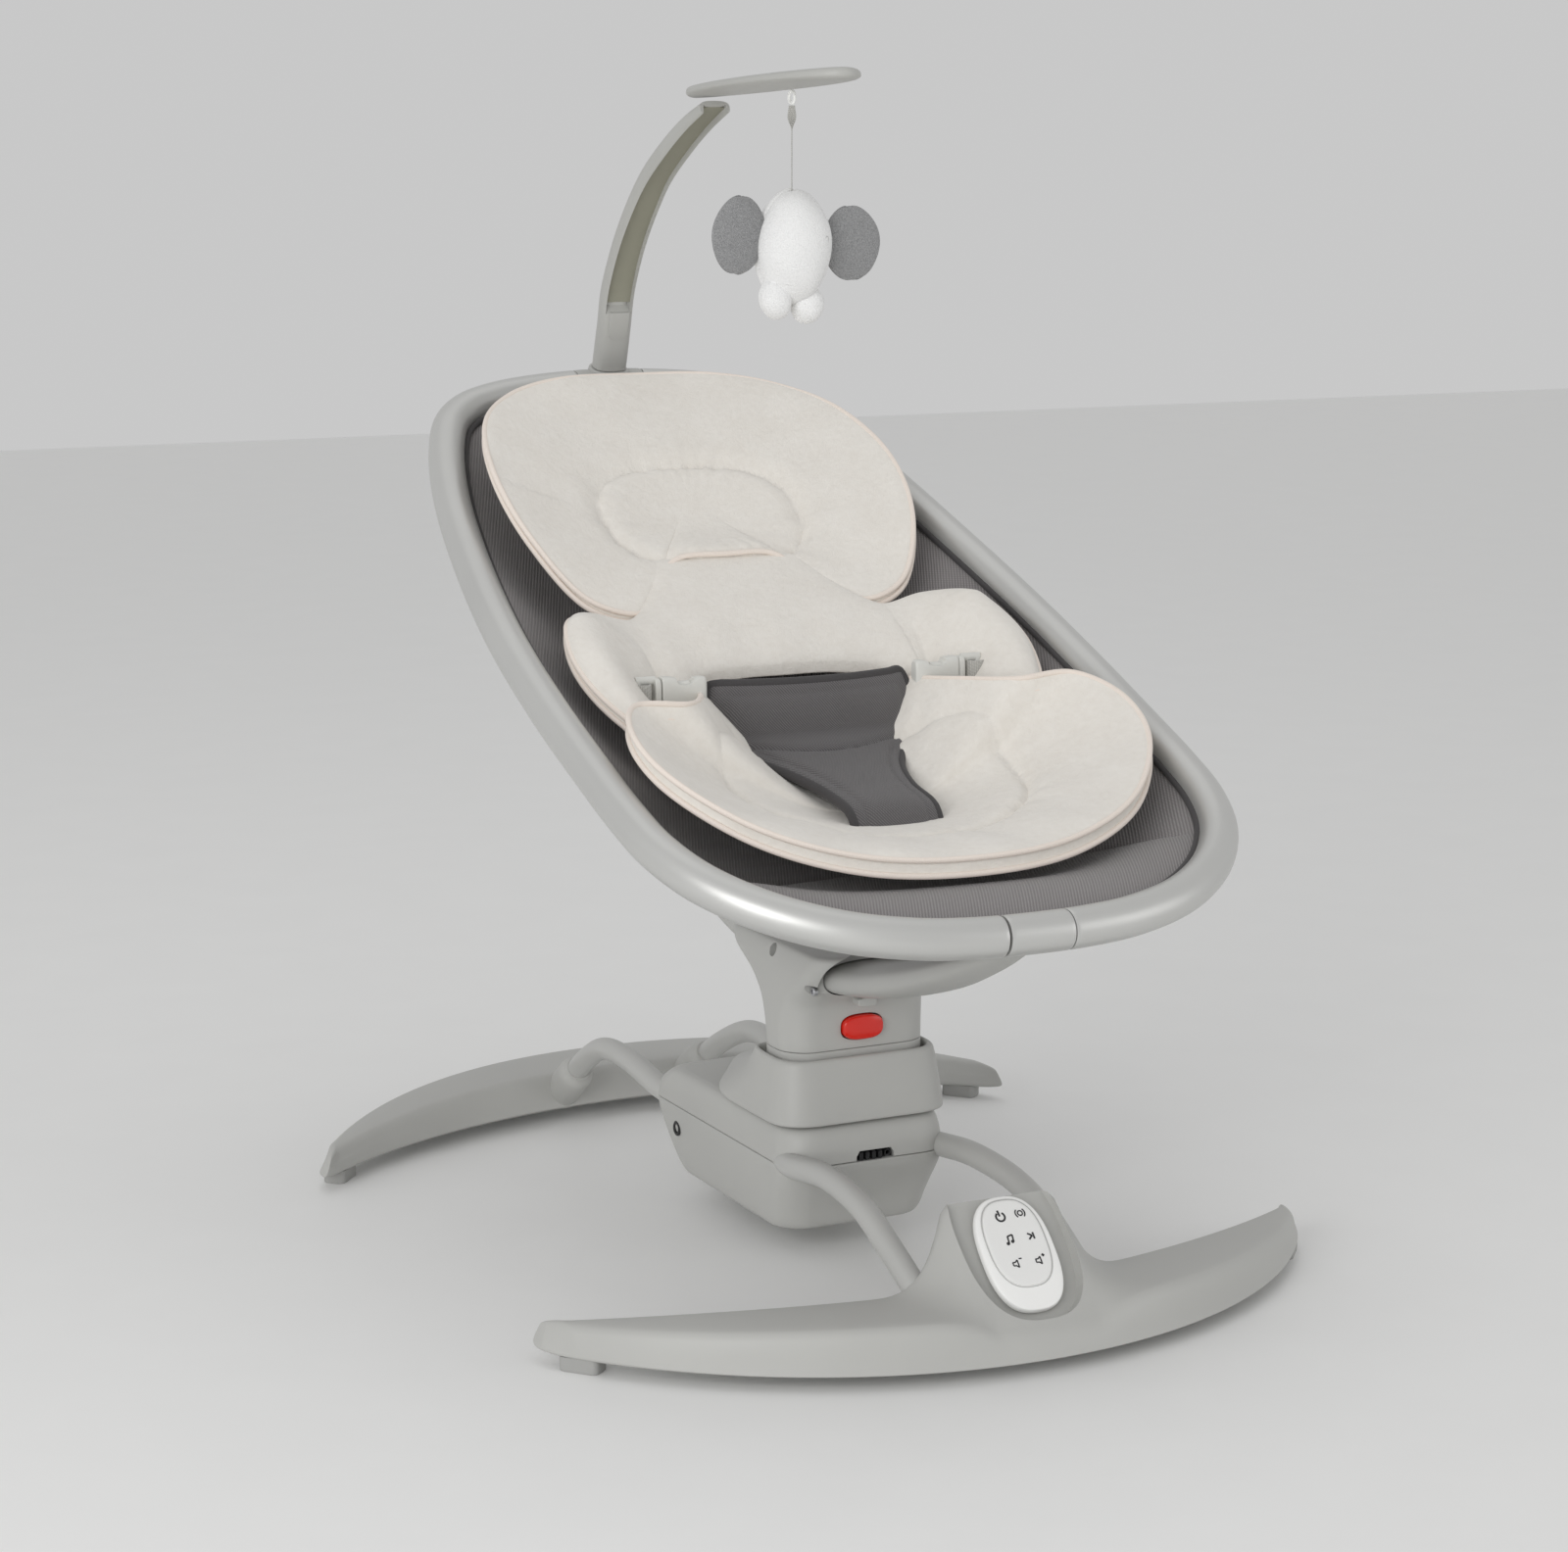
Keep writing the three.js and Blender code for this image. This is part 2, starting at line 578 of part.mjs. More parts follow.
function dish() {
  const shares = [0.02, 0.25, 0.45, 0.62, 0.76, 0.88, 1];
  const ringOf = (share, drop) => {
    const ring = [];
    for (let i = 0; i < dishTurns; i++) {
      const plan = dishCentre.clone().lerp(insetPlan(i, ringTube + 0.8), share);
      ring.push(new THREE.Vector3(plan.x, plan.y, dishHeight(share, plan.y) - drop));
    }
    return ring;
  };
  const inner = shares.map((share) => ringOf(share, 0));
  const outer = shares.map((share) => ringOf(share, fabricThickness)).reverse();
  return skin([...inner, ...outer]);
}
place('seat_sling', dish(), greyKnit);

// How far out a plan point lies, from 0 at the middle of the dish to 1 at its rim.
const rim = Array.from({ length: dishTurns }, (_, i) => insetPlan(i, ringTube + 0.8));
function rimShare(x, y) {
  const point = new THREE.Vector2(x - dishCentre.x, y - dishCentre.y);
  const reach = point.length();
  if (reach < 1e-6) return 0;
  let best = Infinity;
  for (let i = 0; i < dishTurns; i++) {
    const a = rim[i].clone().sub(dishCentre);
    const b = rim[(i + 1) % dishTurns].clone().sub(dishCentre);
    const edge = b.clone().sub(a);
    const across = point.x * edge.y - point.y * edge.x;
    const along = (a.x * edge.y - a.y * edge.x) / across;
    const slide = (a.x * point.y - a.y * point.x) / across;
    if (along > 0 && slide >= -1e-6 && slide <= 1 + 1e-6) best = Math.min(best, along);
  }
  return Math.min(1, 1 / best);
}

// A cushion: its seam runs at the rise above the ring, its middle lies lower, and both faces swell.
function cushion(outline, middle, { drop, rise, thickness, lean = () => 0 }) {
  const curve = new THREE.CatmullRomCurve3(
    outline.map(([x, y]) => new THREE.Vector3(x, y, 0)), true, 'centripetal',
  );
  const turns = 26;
  const ringOf = (share, swell) => curve.getSpacedPoints(turns).slice(0, turns).map((p) => {
    const x = middle[0] + (p.x - middle[0]) * share;
    const y = middle[1] + (p.y - middle[1]) * share;
    const seam = ringHeight(y) + lean(y) - drop + (rise(p.x, p.y) + drop) * share ** 2;
    const floor = dishHeight(rimShare(x, y), y) + 1.5;
    const height = seam + swell * thickness / 2 * Math.sqrt(Math.max(0, 1 - share ** 6));
    return new THREE.Vector3(x, y, swell > 0 ? Math.max(height, floor + 4) : Math.max(height, floor));
  });
  const shares = [0.03, 0.4, 0.7, 0.88, 0.97];
  const top = shares.map((share) => ringOf(share, 1));
  const bottom = shares.map((share) => ringOf(share, -1)).reverse();
  return skin([...top, ringOf(1, 1), ...bottom]);
}

const mirrorOutline = (half) => [...half, ...half.filter(([x]) => x > 0).map(([x, y]) => [-x, y]).reverse()];
const backOutline = mirrorOutline([
  [0, 112], [40, 110], [62, 84], [92, 58], [100, 34], [90, 12], [40, 6], [0, 6],
]);
const wingOutline = [
  [70, 50], [92, 58], [128, 52], [158, 20], [168, -25], [156, -62], [124, -74], [104, -50], [92, -4], [72, 22],
];
const seatOutline = mirrorOutline([
  [0, -8], [40, -8], [76, -20], [88, -62], [118, -86], [160, -84], [172, -118], [168, -170], [136, -214],
  [76, -240], [0, -248],
]);
const pillowOutline = mirrorOutline([
  [0, 124], [40, 122], [58, 98], [84, 72], [116, 76], [140, 112], [150, 160], [140, 214], [112, 256], [60, 280],
  [0, 286],
]);
const { smoothstep } = THREE.MathUtils;
place('head_pillow', cushion(pillowOutline, [0, 180], {
  drop: 0, rise: () => 0, thickness: 30, lean: (y) => 46 * smoothstep(y, 50, 190) - 2,
}), plush);
const strapSlits = sides.map(([side]) => mirrored(
  toGeometry(toSolid(block(74, 180, -31, -8, 346, 410))), side,
));
const backForm = { drop: 36, rise: (x) => 40 * smoothstep(Math.abs(x), 60, 130) - 28, thickness: 40 };
const wing = cushion(wingOutline, [132, -10], { ...backForm, drop: 0 });
const wings = sides.map(([side]) => mirrored(wing, side));
place('back_cushion', cut(
  join(cushion(backOutline, [0, 50], backForm), ...wings), ...strapSlits,
), plush);
// The seat's rim is level with the ring in front, rises at its sides and dips under the lap panel.
function seatRise(x, y) {
  const beside = smoothstep(Math.abs(x), 84, 140);
  return 60 * Math.max(beside, smoothstep(-y, 120, 200)) - 60 + 24 * beside * smoothstep(y, -247, -111);
}
place('seat_cushion', cushion(seatOutline, [0, -120], {
  drop: 60, rise: seatRise, thickness: 18,
}), plush);

// ---- Harness: a T-shaped lap panel with a side-release buckle and a webbing strap on each side ----
const panelRows = [
  [71, -14, 371], [74, -20, 354], [71, -26, 336], [58, -44, 326], [40, -74, 318], [31, -106, 311],
  [30, -138, 306],
];
function lapPanel() {
  const across = 10;
  const thickness = 7;
  const rowRing = ([half, y, z], i) => {
    const before = panelRows[Math.max(0, i - 1)];
    const after = panelRows[Math.min(panelRows.length - 1, i + 1)];
    const run = new THREE.Vector2(after[1] - before[1], after[2] - before[2]).normalize();
    const side = (offset) => Array.from({ length: across + 1 }, (_, j) => {
      const share = j / across * 2 - 1;
      const bulge = 16 * (1 - share ** 2) * Math.max(0, 1 - i / 4);
      return new THREE.Vector3(half * share, y - bulge + run.y * offset, z - run.x * offset);
    });
    return [...side(thickness / 2), ...side(-thickness / 2).reverse()];
  };
  return skin(panelRows.map(rowRing));
}
place('lap_panel', lapPanel(), darkKnit);

function stack(rings) {
  return skin(rings.map(([x, halfY, halfZ, y, z]) => ovalOutline(halfY, halfZ, 20, 4)
    .map(([a, b]) => new THREE.Vector3(x, y + a, z + b))));
}
const buckleY = -22;
const buckleZ = 364;
const femaleBuckle = cut(
  stack([[76.5, 4.5, 13, buckleY, buckleZ], [79, 5.5, 15, buckleY, buckleZ], [108, 5.5, 15.5, buckleY, buckleZ]]),
  block(90, 110, buckleY - 3.2, buckleY + 3.2, buckleZ - 11, buckleZ + 11),
);
const maleBuckle = join(
  block(91, 110, buckleY - 2.6, buckleY + 2.6, buckleZ - 10, buckleZ - 5),
  block(91, 110, buckleY - 2.6, buckleY + 2.6, buckleZ + 5, buckleZ + 10),
  cut(
    stack([[109, 5, 15, buckleY, buckleZ], [124, 4.5, 14.5, buckleY, buckleZ]]),
    block(114.5, 119, buckleY - 8, buckleY + 8, buckleZ - 12.8, buckleZ + 12.8),
  ),
);
const webbing = (() => {
  const path = [[116.8, -28.4], [116.8, -20], [118.8, -15.3], [127, -14.6], [137, -15]];
  const half = 0.6;
  const width = 24.4;
  const side = (offset) => path.map(([x, y], i) => {
    const a = path[Math.max(0, i - 1)];
    const b = path[Math.min(path.length - 1, i + 1)];
    const run = new THREE.Vector2(b[0] - a[0], b[1] - a[1]).normalize();
    return [x - run.y * offset, y + run.x * offset];
  });
  const outline = new THREE.Shape([...side(half), ...side(-half).reverse()].map((p) => new THREE.Vector2(...p)));
  const tape = new THREE.ExtrudeGeometry(outline, { depth: width, bevelEnabled: false });
  return tape.translate(0, 0, buckleZ - width / 2);
})();
const buckleHalves = [['buckle_socket', femaleBuckle, whitePlastic], ['buckle_clip', maleBuckle, whitePlastic],
  ['webbing', webbing, plush]];
for (const [side, name] of sides) {
  for (const [piece, geometry, material] of buckleHalves) {
    place(`${name}_${piece}`, mirrored(toGeometry(toSolid(geometry)), side), material);
  }
}

// ---- Toy bar: a curved channel arm that swivels in the head joiner, with a leaf-shaped top plate ----
const armLine = [[14.6, 12, 9], [30, 12, 9], [48, 12, 8.5]];
const armCurve = [[288.5, 608.5, 12, 8.5], [276, 631, 11.8, 8], [261.5, 651, 11.6, 8], [241, 673, 11.4, 8],
  [218.5, 692.5, 11, 8], [180, 715, 11, 7.5], [150, 729, 11, 6.5], [122, 739, 11, 5]];
function armStations() {
  const low = armLine.map(([distance, halfX, halfOut]) => [alongArm(distance), halfX, halfOut]);
  const high = armCurve.map(([y, z, halfX, halfOut]) => [new THREE.Vector3(0, y, z), halfX, halfOut]);
  return [...low, ...high];
}

function armRings(stations, shrink, shift) {
  return stations.map(([centre, halfX, halfOut], i) => {
    const before = stations[Math.max(0, i - 1)][0];
    const after = stations[Math.min(stations.length - 1, i + 1)][0];
    const run = new THREE.Vector3().subVectors(after, before).normalize();
    const inwards = new THREE.Vector3(0, -run.z, run.y);
    const middle = centre.clone().addScaledVector(inwards, shift);
    return ovalSection(middle, inwards, halfX - shrink, halfOut, 3, 16);
  });
}
const stations = armStations();
const channel = [...stations.slice(3), [new THREE.Vector3(0, 108, 743), 11, 5]];
const latchSeat = (grow, low, high, depth0, depth1) => {
  const outline = [];
  for (let i = 0; i <= 12; i++) {
    const angle = Math.PI + Math.PI * i / 12;
    outline.push([(7.5 + grow) * Math.cos(angle), low + (7.5 + grow) * Math.sin(angle)]);
  }
  outline.push([7.5 + grow, high], [-7.5 - grow, high]);
  const inwards = new THREE.Vector3(0, -armAxis.z, armAxis.y);
  return skin([depth0, depth1].map((depth) => outline.map(([x, d]) => (
    alongArm(d).add(new THREE.Vector3(x, 0, 0)).addScaledVector(inwards, depth)
  ))));
};
place('toy_bar', cut(
  join(skin(armRings(stations, 0, 0)), rod(alongArm(-5), alongArm(16), 8, 24)),
  skin(armRings(channel, 2.6, 6.5)), latchSeat(0.4, 44, 62, 2.5, 14),
), moulding);
place('bar_latch', latchSeat(0, 44, 59, 5.6, 8.8), moulding);

// The plate is a leaf in plan, a little domed, with its stalk end over the arm.
function leaf(grow, thin) {
  const count = 24;
  const rings = [[0.55, -1], [0.85, -0.9], [1, -0.45], [1, 0.1], [0.8, 0.8], [0.4, 1]].map(([share, level]) => {
    const ring = [];
    for (let i = 0; i < count; i++) {
      const angle = (2 * Math.PI * i) / count;
      const along = Math.cos(angle);
      const half = 30 * Math.sin(angle) * (1 - 0.18 * along) * share;
      const y = 42 + 114 * along * (0.9 + 0.1 * share);
      ring.push(new THREE.Vector3(half, y, 754.6 - 0.045 * (y - 42) + (level * 4 - thin) + grow));
    }
    return ring;
  });
  return skin(rings);
}
place('bar_plate', cut(leaf(0, 0), skin(armRings(stations, -gap, 0))), moulding);
place('toy_hook', (() => {
  const ring = new THREE.TorusGeometry(4, 1.1, 6, 14);
  return toGeometry(toSolid(ring.rotateY(Math.PI / 2).translate(hook.x, hook.y, hook.z - 0.8)));
})(), whitePlastic);

// ---- Hanging toy: a plush elephant on a ribbon ----
function ball(centre, radii, turn = [0, 0, 0], detail = [14, 10]) {
  const geometry = new THREE.SphereGeometry(1, ...detail);
  geometry.scale(...radii).rotateX(turn[0]).rotateY(turn[1]).rotateZ(turn[2]);
  return geometry.translate(...centre);
}
place('toy_ribbon', block(-5, 5, hook.y - 0.5, hook.y + 0.5, 688.6, 739.6), plush);
place('toy_body', join(
  ball([0, 6, 650], [25, 27, 37]), ball([-14, 2, 616], [11, 12, 14]), ball([10, 4, 612], [11, 12, 12]),
), plush);
place('toy_left_ear', cut(ball([-40, 8, 658], [17, 6, 25]), ball([0, 6, 650], [25.4, 27.4, 37.4])), greyPlush);
place('toy_right_ear', cut(ball([43, 4, 652], [19, 6, 24]), ball([0, 6, 650], [25.4, 27.4, 37.4])), greyPlush);

export default swing;
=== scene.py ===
import json

import bmesh
import bpy
import numpy as np
from mathutils import Matrix, Vector


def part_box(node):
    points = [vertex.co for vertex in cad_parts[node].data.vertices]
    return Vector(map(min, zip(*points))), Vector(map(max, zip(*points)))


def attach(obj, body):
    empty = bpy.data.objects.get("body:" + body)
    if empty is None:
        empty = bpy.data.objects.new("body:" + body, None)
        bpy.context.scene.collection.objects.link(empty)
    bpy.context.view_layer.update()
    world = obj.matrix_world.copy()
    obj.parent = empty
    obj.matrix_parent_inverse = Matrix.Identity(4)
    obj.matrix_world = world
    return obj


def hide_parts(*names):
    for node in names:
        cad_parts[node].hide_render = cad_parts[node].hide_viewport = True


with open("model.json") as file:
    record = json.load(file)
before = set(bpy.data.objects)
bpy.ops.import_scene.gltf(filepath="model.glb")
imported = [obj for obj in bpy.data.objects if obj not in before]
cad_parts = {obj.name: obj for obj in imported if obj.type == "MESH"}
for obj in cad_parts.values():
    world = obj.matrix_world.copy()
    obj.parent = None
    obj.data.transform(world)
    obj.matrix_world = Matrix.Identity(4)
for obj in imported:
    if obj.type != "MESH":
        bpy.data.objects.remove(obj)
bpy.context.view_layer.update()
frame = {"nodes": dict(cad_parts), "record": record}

# ---- Studio ----
# A pale floor under an even white sky, with one large soft box in front on the left, a weaker one on
# the right and one overhead. The camera stands in front of the foot end, to the left.
floor_half = 6
floor_mesh = bpy.data.meshes.new("floor")
floor_corners = [(-floor_half, -floor_half, 0), (floor_half, -floor_half, 0),
                 (floor_half, floor_half, 0), (-floor_half, floor_half, 0)]
floor_mesh.from_pydata(floor_corners, [], [(0, 1, 2, 3)])
floor = bpy.data.objects.new("floor", floor_mesh)
bpy.context.collection.objects.link(floor)

sky = bpy.data.worlds.new("studio_sky")
sky.use_nodes = True
sky.node_tree.nodes["Background"].inputs["Color"].default_value = (1, 1, 1, 1)
sky.node_tree.nodes["Background"].inputs["Strength"].default_value = 0.58
bpy.context.scene.world = sky
bpy.context.scene.view_settings.view_transform = "Standard"


def soft_box(name, place, size, power):
    """A square area light aimed at the middle of the seat."""
    light = bpy.data.lights.new(name, "AREA")
    light.size, light.energy = size, power
    lamp = bpy.data.objects.new(name, light)
    lamp.location = place
    lamp.rotation_euler = (Vector((0, 0, 0.3)) - Vector(place)).to_track_quat("-Z", "Y").to_euler()
    bpy.context.collection.objects.link(lamp)


soft_box("key_box", (-2.1, -1.7, 1.0), 1.5, 27)
soft_box("fill_box", (1.9, -1.9, 0.8), 1.4, 6)
soft_box("top_box", (0.1, 0.6, 2.4), 1.8, 3)

camera_azimuth, camera_elevation = np.radians(-26.28), np.radians(10.36)
sin_a, cos_a = np.sin(camera_azimuth), np.cos(camera_azimuth)
sin_e, cos_e = np.sin(camera_elevation), np.cos(camera_elevation)
camera_right = Vector((cos_a, sin_a, 0))
camera_back = Vector((sin_a * cos_e, -cos_a * cos_e, sin_e))
camera_up = camera_back.cross(camera_right)
camera = bpy.data.objects.new("camera", bpy.data.cameras.new("camera"))
camera.data.lens = 81.2
turn = Matrix((camera_right, camera_up, camera_back)).transposed().to_4x4()
camera.matrix_world = Matrix.Translation((-1.0288, -2.0661, 0.7247)) @ turn
bpy.context.collection.objects.link(camera)
bpy.context.scene.camera = camera


# ---- Floor pads ----
# Four short grey blocks with rounded corners, pressed into the undersides of the foot tips.
class Shade:
    """A value on its way through a shader. Arithmetic on it adds the Math nodes."""

    def __init__(self, finish, socket):
        """Keeps the finish that owns the nodes and the output socket that carries the value."""
        self.finish, self.socket = finish, socket

    def math(self, operation, a, b=0.0):
        """One Math node: the named operation on a and b."""
        return self.finish.add("ShaderNodeMath", {"operation": operation}, {0: a, 1: b})

    def __add__(self, other):
        """The sum of both values."""
        return self.math("ADD", self, other)

    def __sub__(self, other):
        """This value less the other."""
        return self.math("SUBTRACT", self, other)

    def __rsub__(self, other):
        """The other value less this one."""
        return self.math("SUBTRACT", other, self)

    def __mul__(self, other):
        """The product of both values."""
        return self.math("MULTIPLY", self, other)

    def __gt__(self, other):
        """One where this value is greater than the other, and nought elsewhere."""
        return self.math("GREATER_THAN", self, other)

    __radd__, __rmul__ = __add__, __mul__


def srgb(*values):
    """A display colour of 0 to 255 as linear light, with full alpha."""
    share = np.array(values) / 255
    return (*np.where(share < 0.04045, share / 12.92, ((share + 0.055) / 1.055) ** 2.4), 1.0)


class Finish:
    """A Principled material. Fixed sockets are set by name and the varying ones are linked."""

    def __init__(self, name, **fixed):
        """A new Principled material, its fixed sockets set and its object coordinates ready."""
        self.material = bpy.data.materials.new(name)
        self.material.use_nodes = True
        self.tree = self.material.node_tree
        self.shader = self.tree.nodes["Principled BSDF"]
        for socket, value in fixed.items():
            self.shader.inputs[socket.replace("_", " ")].default_value = value
        self.place = self.add("ShaderNodeTexCoord", output="Object")

    def add(self, kind, settings=None, inputs=None, output=0):
        """Adds one node, sets its settings and then its sockets, and gives back one output."""
        node = self.tree.nodes.new(kind)
        for key, value in (settings or {}).items():
            setattr(node, key, value)
        for key, value in (inputs or {}).items():
            if isinstance(value, Shade):
                self.tree.links.new(value.socket, node.inputs[key])
            else:
                node.inputs[key].default_value = value
        return Shade(self, node.outputs[output])

    def noise(self, scale, detail=2.0, where=None):
        """Fractal noise from nought to one, with scale times the place as its coordinate."""
        inputs = {"Vector": where or self.place, "Scale": scale, "Detail": detail}
        return self.add("ShaderNodeTexNoise", inputs=inputs)

    def mix(self, share, a, b):
        """The colour a times one less share, plus b times share."""
        return self.add("ShaderNodeMix", {"data_type": "RGBA"}, {0: share, 6: a, 7: b}, 2)

    def link(self, socket, value):
        """Joins a varying value to one socket of the shader."""
        self.tree.links.new(value.socket, self.shader.inputs[socket])
        return self

    def bump(self, height, depth, strength=1.0):
        """Tilts the normal by the slope of height times depth."""
        normal = self.add("ShaderNodeBump",
                          inputs={"Height": height, "Distance": depth, "Strength": strength})
        return self.link("Normal", normal)


def moulded(name, colour, shade, rough, grain=0.00006, scale=1500.0, **fixed):
    """Injection-moulded plastic: a fine spark-eroded grain and a faint drift in colour and gloss."""
    finish = Finish(name, **fixed)
    drift = finish.noise(14.0, 3.0)
    grains = finish.noise(scale, 3.0)
    finish.link("Base Color", finish.mix(drift, srgb(*shade), srgb(*colour)))
    finish.link("Roughness", drift * 0.08 + grains * 0.06 + (rough - 0.07))
    return finish.bump(grains, grain).material


grey_moulding = moulded("grey_moulding", (188, 188, 184), (180, 180, 177), 0.47)
pad_rubber = moulded("rubber", (172, 172, 169), (160, 160, 158), 0.7, 0.00015, 700.0)

mm = 0.001


def mesh_piece(name, points, faces, finish, body, nodes=(), slot="grey_moulding", sharp=35.0, uv=None):
    """A mesh piece from points in millimetres, with outward faces, riding on a body in place of nodes."""
    mesh = bpy.data.meshes.new(name)
    mesh.from_pydata((np.asarray(points, float).reshape(-1, 3) * mm).tolist(), [], faces)
    if uv is not None:
        corners = np.empty(len(mesh.loops), int)
        mesh.loops.foreach_get("vertex_index", corners)
        mesh.uv_layers.new(name="cloth").data.foreach_set("uv", np.asarray(uv, float)[corners].ravel())
    shell = bmesh.new()
    shell.from_mesh(mesh)
    bmesh.ops.recalc_face_normals(shell, faces=shell.faces)
    shell.to_mesh(mesh)
    shell.free()
    mesh.shade_smooth()
    mesh.set_sharp_from_angle(angle=np.radians(sharp))
    mesh.materials.append(finish)
    made = bpy.data.objects.new(name, mesh)
    bpy.context.collection.objects.link(made)
    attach(made, body)
    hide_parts(*nodes)
    return made


def net(rows, columns, around=True):
    """Quads between neighbouring points of a rows by columns grid, whose columns may run round."""
    row = np.arange(rows - 1)[:, None] * columns
    column = np.arange(columns if around else columns - 1)[None, :]
    beside = (column + 1) % columns
    quads = np.stack([row + column, row + beside, row + beside + columns, row + column + columns], -1)
    return quads.reshape(-1, 4).tolist()


def capped(rows, columns):
    """A net that runs round, closed by one flat face at each end."""
    last = (rows - 1) * columns
    return net(rows, columns) + [list(range(columns))[::-1], list(range(last, last + columns))]


def skin(name, rings, finish, body, nodes=(), **kwargs):
    """A closed piece through rings of points, given as an array of ring, point and coordinate."""
    rings = np.asarray(rings, float)
    return mesh_piece(name, rings, capped(*rings.shape[:2]), finish, body, nodes, **kwargs)


def rounded_rectangle(half, front, rear, radius, arc=12):
    """Plan points of a rectangle from -half to half and front to rear, with quarter-circle corners."""
    angle = np.linspace(0, np.pi / 2, arc + 1)[None, :] + np.arange(4)[:, None] * np.pi / 2
    centre_x = np.array([half, -half, -half, half]) - radius * np.array([1, -1, -1, 1])
    centre_y = np.array([rear, rear, front, front]) - radius * np.array([1, 1, -1, -1])
    x = centre_x[:, None] + radius * np.cos(angle)
    y = centre_y[:, None] + radius * np.sin(angle)
    return np.stack([x.ravel(), y.ravel()], -1)


def softened(rows, times=3, closed=False):
    """Cuts the corners off a list of stations again and again, keeping its two ends if it is open."""
    rows = np.asarray(rows, float)
    for _ in range(times):
        after = np.roll(rows, -1, 0) if closed else rows[1:]
        before = rows if closed else rows[:-1]
        cut = np.stack([0.75 * before + 0.25 * after, 0.25 * before + 0.75 * after], 1)
        cut = cut.reshape(-1, *rows.shape[1:])
        rows = cut if closed else np.concatenate([rows[:1], cut, rows[-1:]])
    return rows


def upright(rows, arc=12, times=3):
    """Rings of an upright shell from rows of half-width, front, rear, corner radius and height."""
    rings = []
    for half, front, rear, radius, height in softened(rows, times):
        plan = rounded_rectangle(half, front, rear, radius, arc)
        rings.append(np.column_stack([plan, np.full(len(plan), height)]))
    return np.array(rings)


pad_rows = [(12, -7, 7, 4, 0), (13, -8, 8, 4, 0), (13, -8, 8, 4, 5), (13, -8, 8, 4, 9)]
for end, end_name in ((-1, "front"), (1, "rear")):
    for side, side_name in ((-1, "left"), (1, "right")):
        node = f"{end_name}_{side_name}_pad"
        low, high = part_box(node)
        centre = (low + high) / 2 / mm
        angle = -0.85 * side * end
        spin = np.array([[np.cos(angle), np.sin(angle), 0], [-np.sin(angle), np.cos(angle), 0], [0, 0, 1]])
        rings = upright(pad_rows) @ spin + [centre.x, centre.y, 0]
        skin(f"{node}_block", rings, pad_rubber, "base", [node], slot="rubber")

# ---- Feet ----
# Two crescents moulded in grey plastic. Each has a sloping outer face and a flat top, and the front
# one rises in its middle to a hump that frames the control panel in an oval recess.
foot_half, outer_radius, outer_centre, inner_radius, inner_centre = 270, 321, 30, 431, -150


def foot_section(x, end):
    """The cross-section at one place along the foot: a plain one, drawn up to the hump's by its share."""
    outer = outer_centre + np.sqrt(outer_radius**2 - x * x)
    inner = inner_centre + np.sqrt(inner_radius**2 - x * x)
    top = 39 - 13 * abs(x / foot_half) ** 3
    thin = min(1, (outer - inner) / 30)
    plain = np.array([
        (outer, 8), (outer - 1.5 * thin, 14), (outer - 4 * thin, top - 9), (outer - 7 * thin, top - 3),
        (outer - 13 * thin, top), (inner + 8 * thin, top), (inner + 3 * thin, top - 2.5),
        (inner + thin, top - 9), (inner, 18), (inner, 8)])
    humped = np.array([
        (outer, 8), (outer - 1.5, 14), (outer - 4, 20), (outer - 8, 26), (outer - 14, 31), (281, 86),
        (274, 90), (267, 84), (276, 30), (inner, 8)])
    share = np.clip((92 - abs(x)) / 56, 0, 1) ** 3.2 if end < 0 else 0
    section = softened(plain + (humped - plain) * share, 3, closed=True)
    section = np.vstack([section, [section[0]]])[:-1]
    tip = np.clip((abs(x) - 256) / 14, 0, 1)
    middle = section.mean(0)
    section = middle + (section - middle) * (0.72 + 0.28 * np.sqrt(1 - tip**2))
    slant = x * (1 - 0.03 * tip * np.clip((section[:, 1] - 10) / 20, 0, 1))
    return np.column_stack([slant, end * section[:, 0], section[:, 1]])


def foot_rings(end):
    """Foot sections at the sine of equal steps, which sets them closer together toward the tips."""
    along = foot_half * np.sin(np.linspace(-1, 1, 181) * np.pi / 2)
    return np.array([foot_section(x, end) for x in along])


def cut_from(piece, *cutters):
    """Cuts closed meshes out of a piece, removes them, and gives its edges their shading again."""
    for cutter in cutters:
        hole = piece.modifiers.new("hole", "BOOLEAN")
        hole.operation, hole.solver, hole.object = "DIFFERENCE", "EXACT", cutter
    shape = bpy.data.meshes.new_from_object(piece.evaluated_get(bpy.context.evaluated_depsgraph_get()))
    piece.modifiers.clear()
    piece.data = shape
    shape.shade_smooth()
    shape.set_sharp_from_angle(angle=np.radians(35))
    for cutter in cutters:
        bpy.data.objects.remove(cutter)
    return piece


def superellipse(half_a, half_b, power=2.6, count=72):
    """Points round an oval that is squarer the higher its power."""
    angle = np.linspace(0, 2 * np.pi, count, endpoint=False)
    c, s = np.cos(angle), np.sin(angle)
    return np.stack([half_a * np.sign(c) * abs(c) ** (2 / power),
                     half_b * np.sign(s) * abs(s) ** (2 / power)], -1)


panel_centre = np.array([0, -302.6, 61.9])
panel_tilt = np.radians(47)
panel_up = np.array([0, np.cos(panel_tilt), np.sin(panel_tilt)])
panel_out = np.array([0, -np.sin(panel_tilt), np.cos(panel_tilt)])


def on_panel(across, slope, height):
    """A point in the panel's plane, from its centre: across, up the slope and out of the face."""
    across, slope, height = np.broadcast_arrays(across, slope, height)
    side = across[..., None] * np.array([1.0, 0, 0])
    return panel_centre + side + slope[..., None] * panel_up + height[..., None] * panel_out


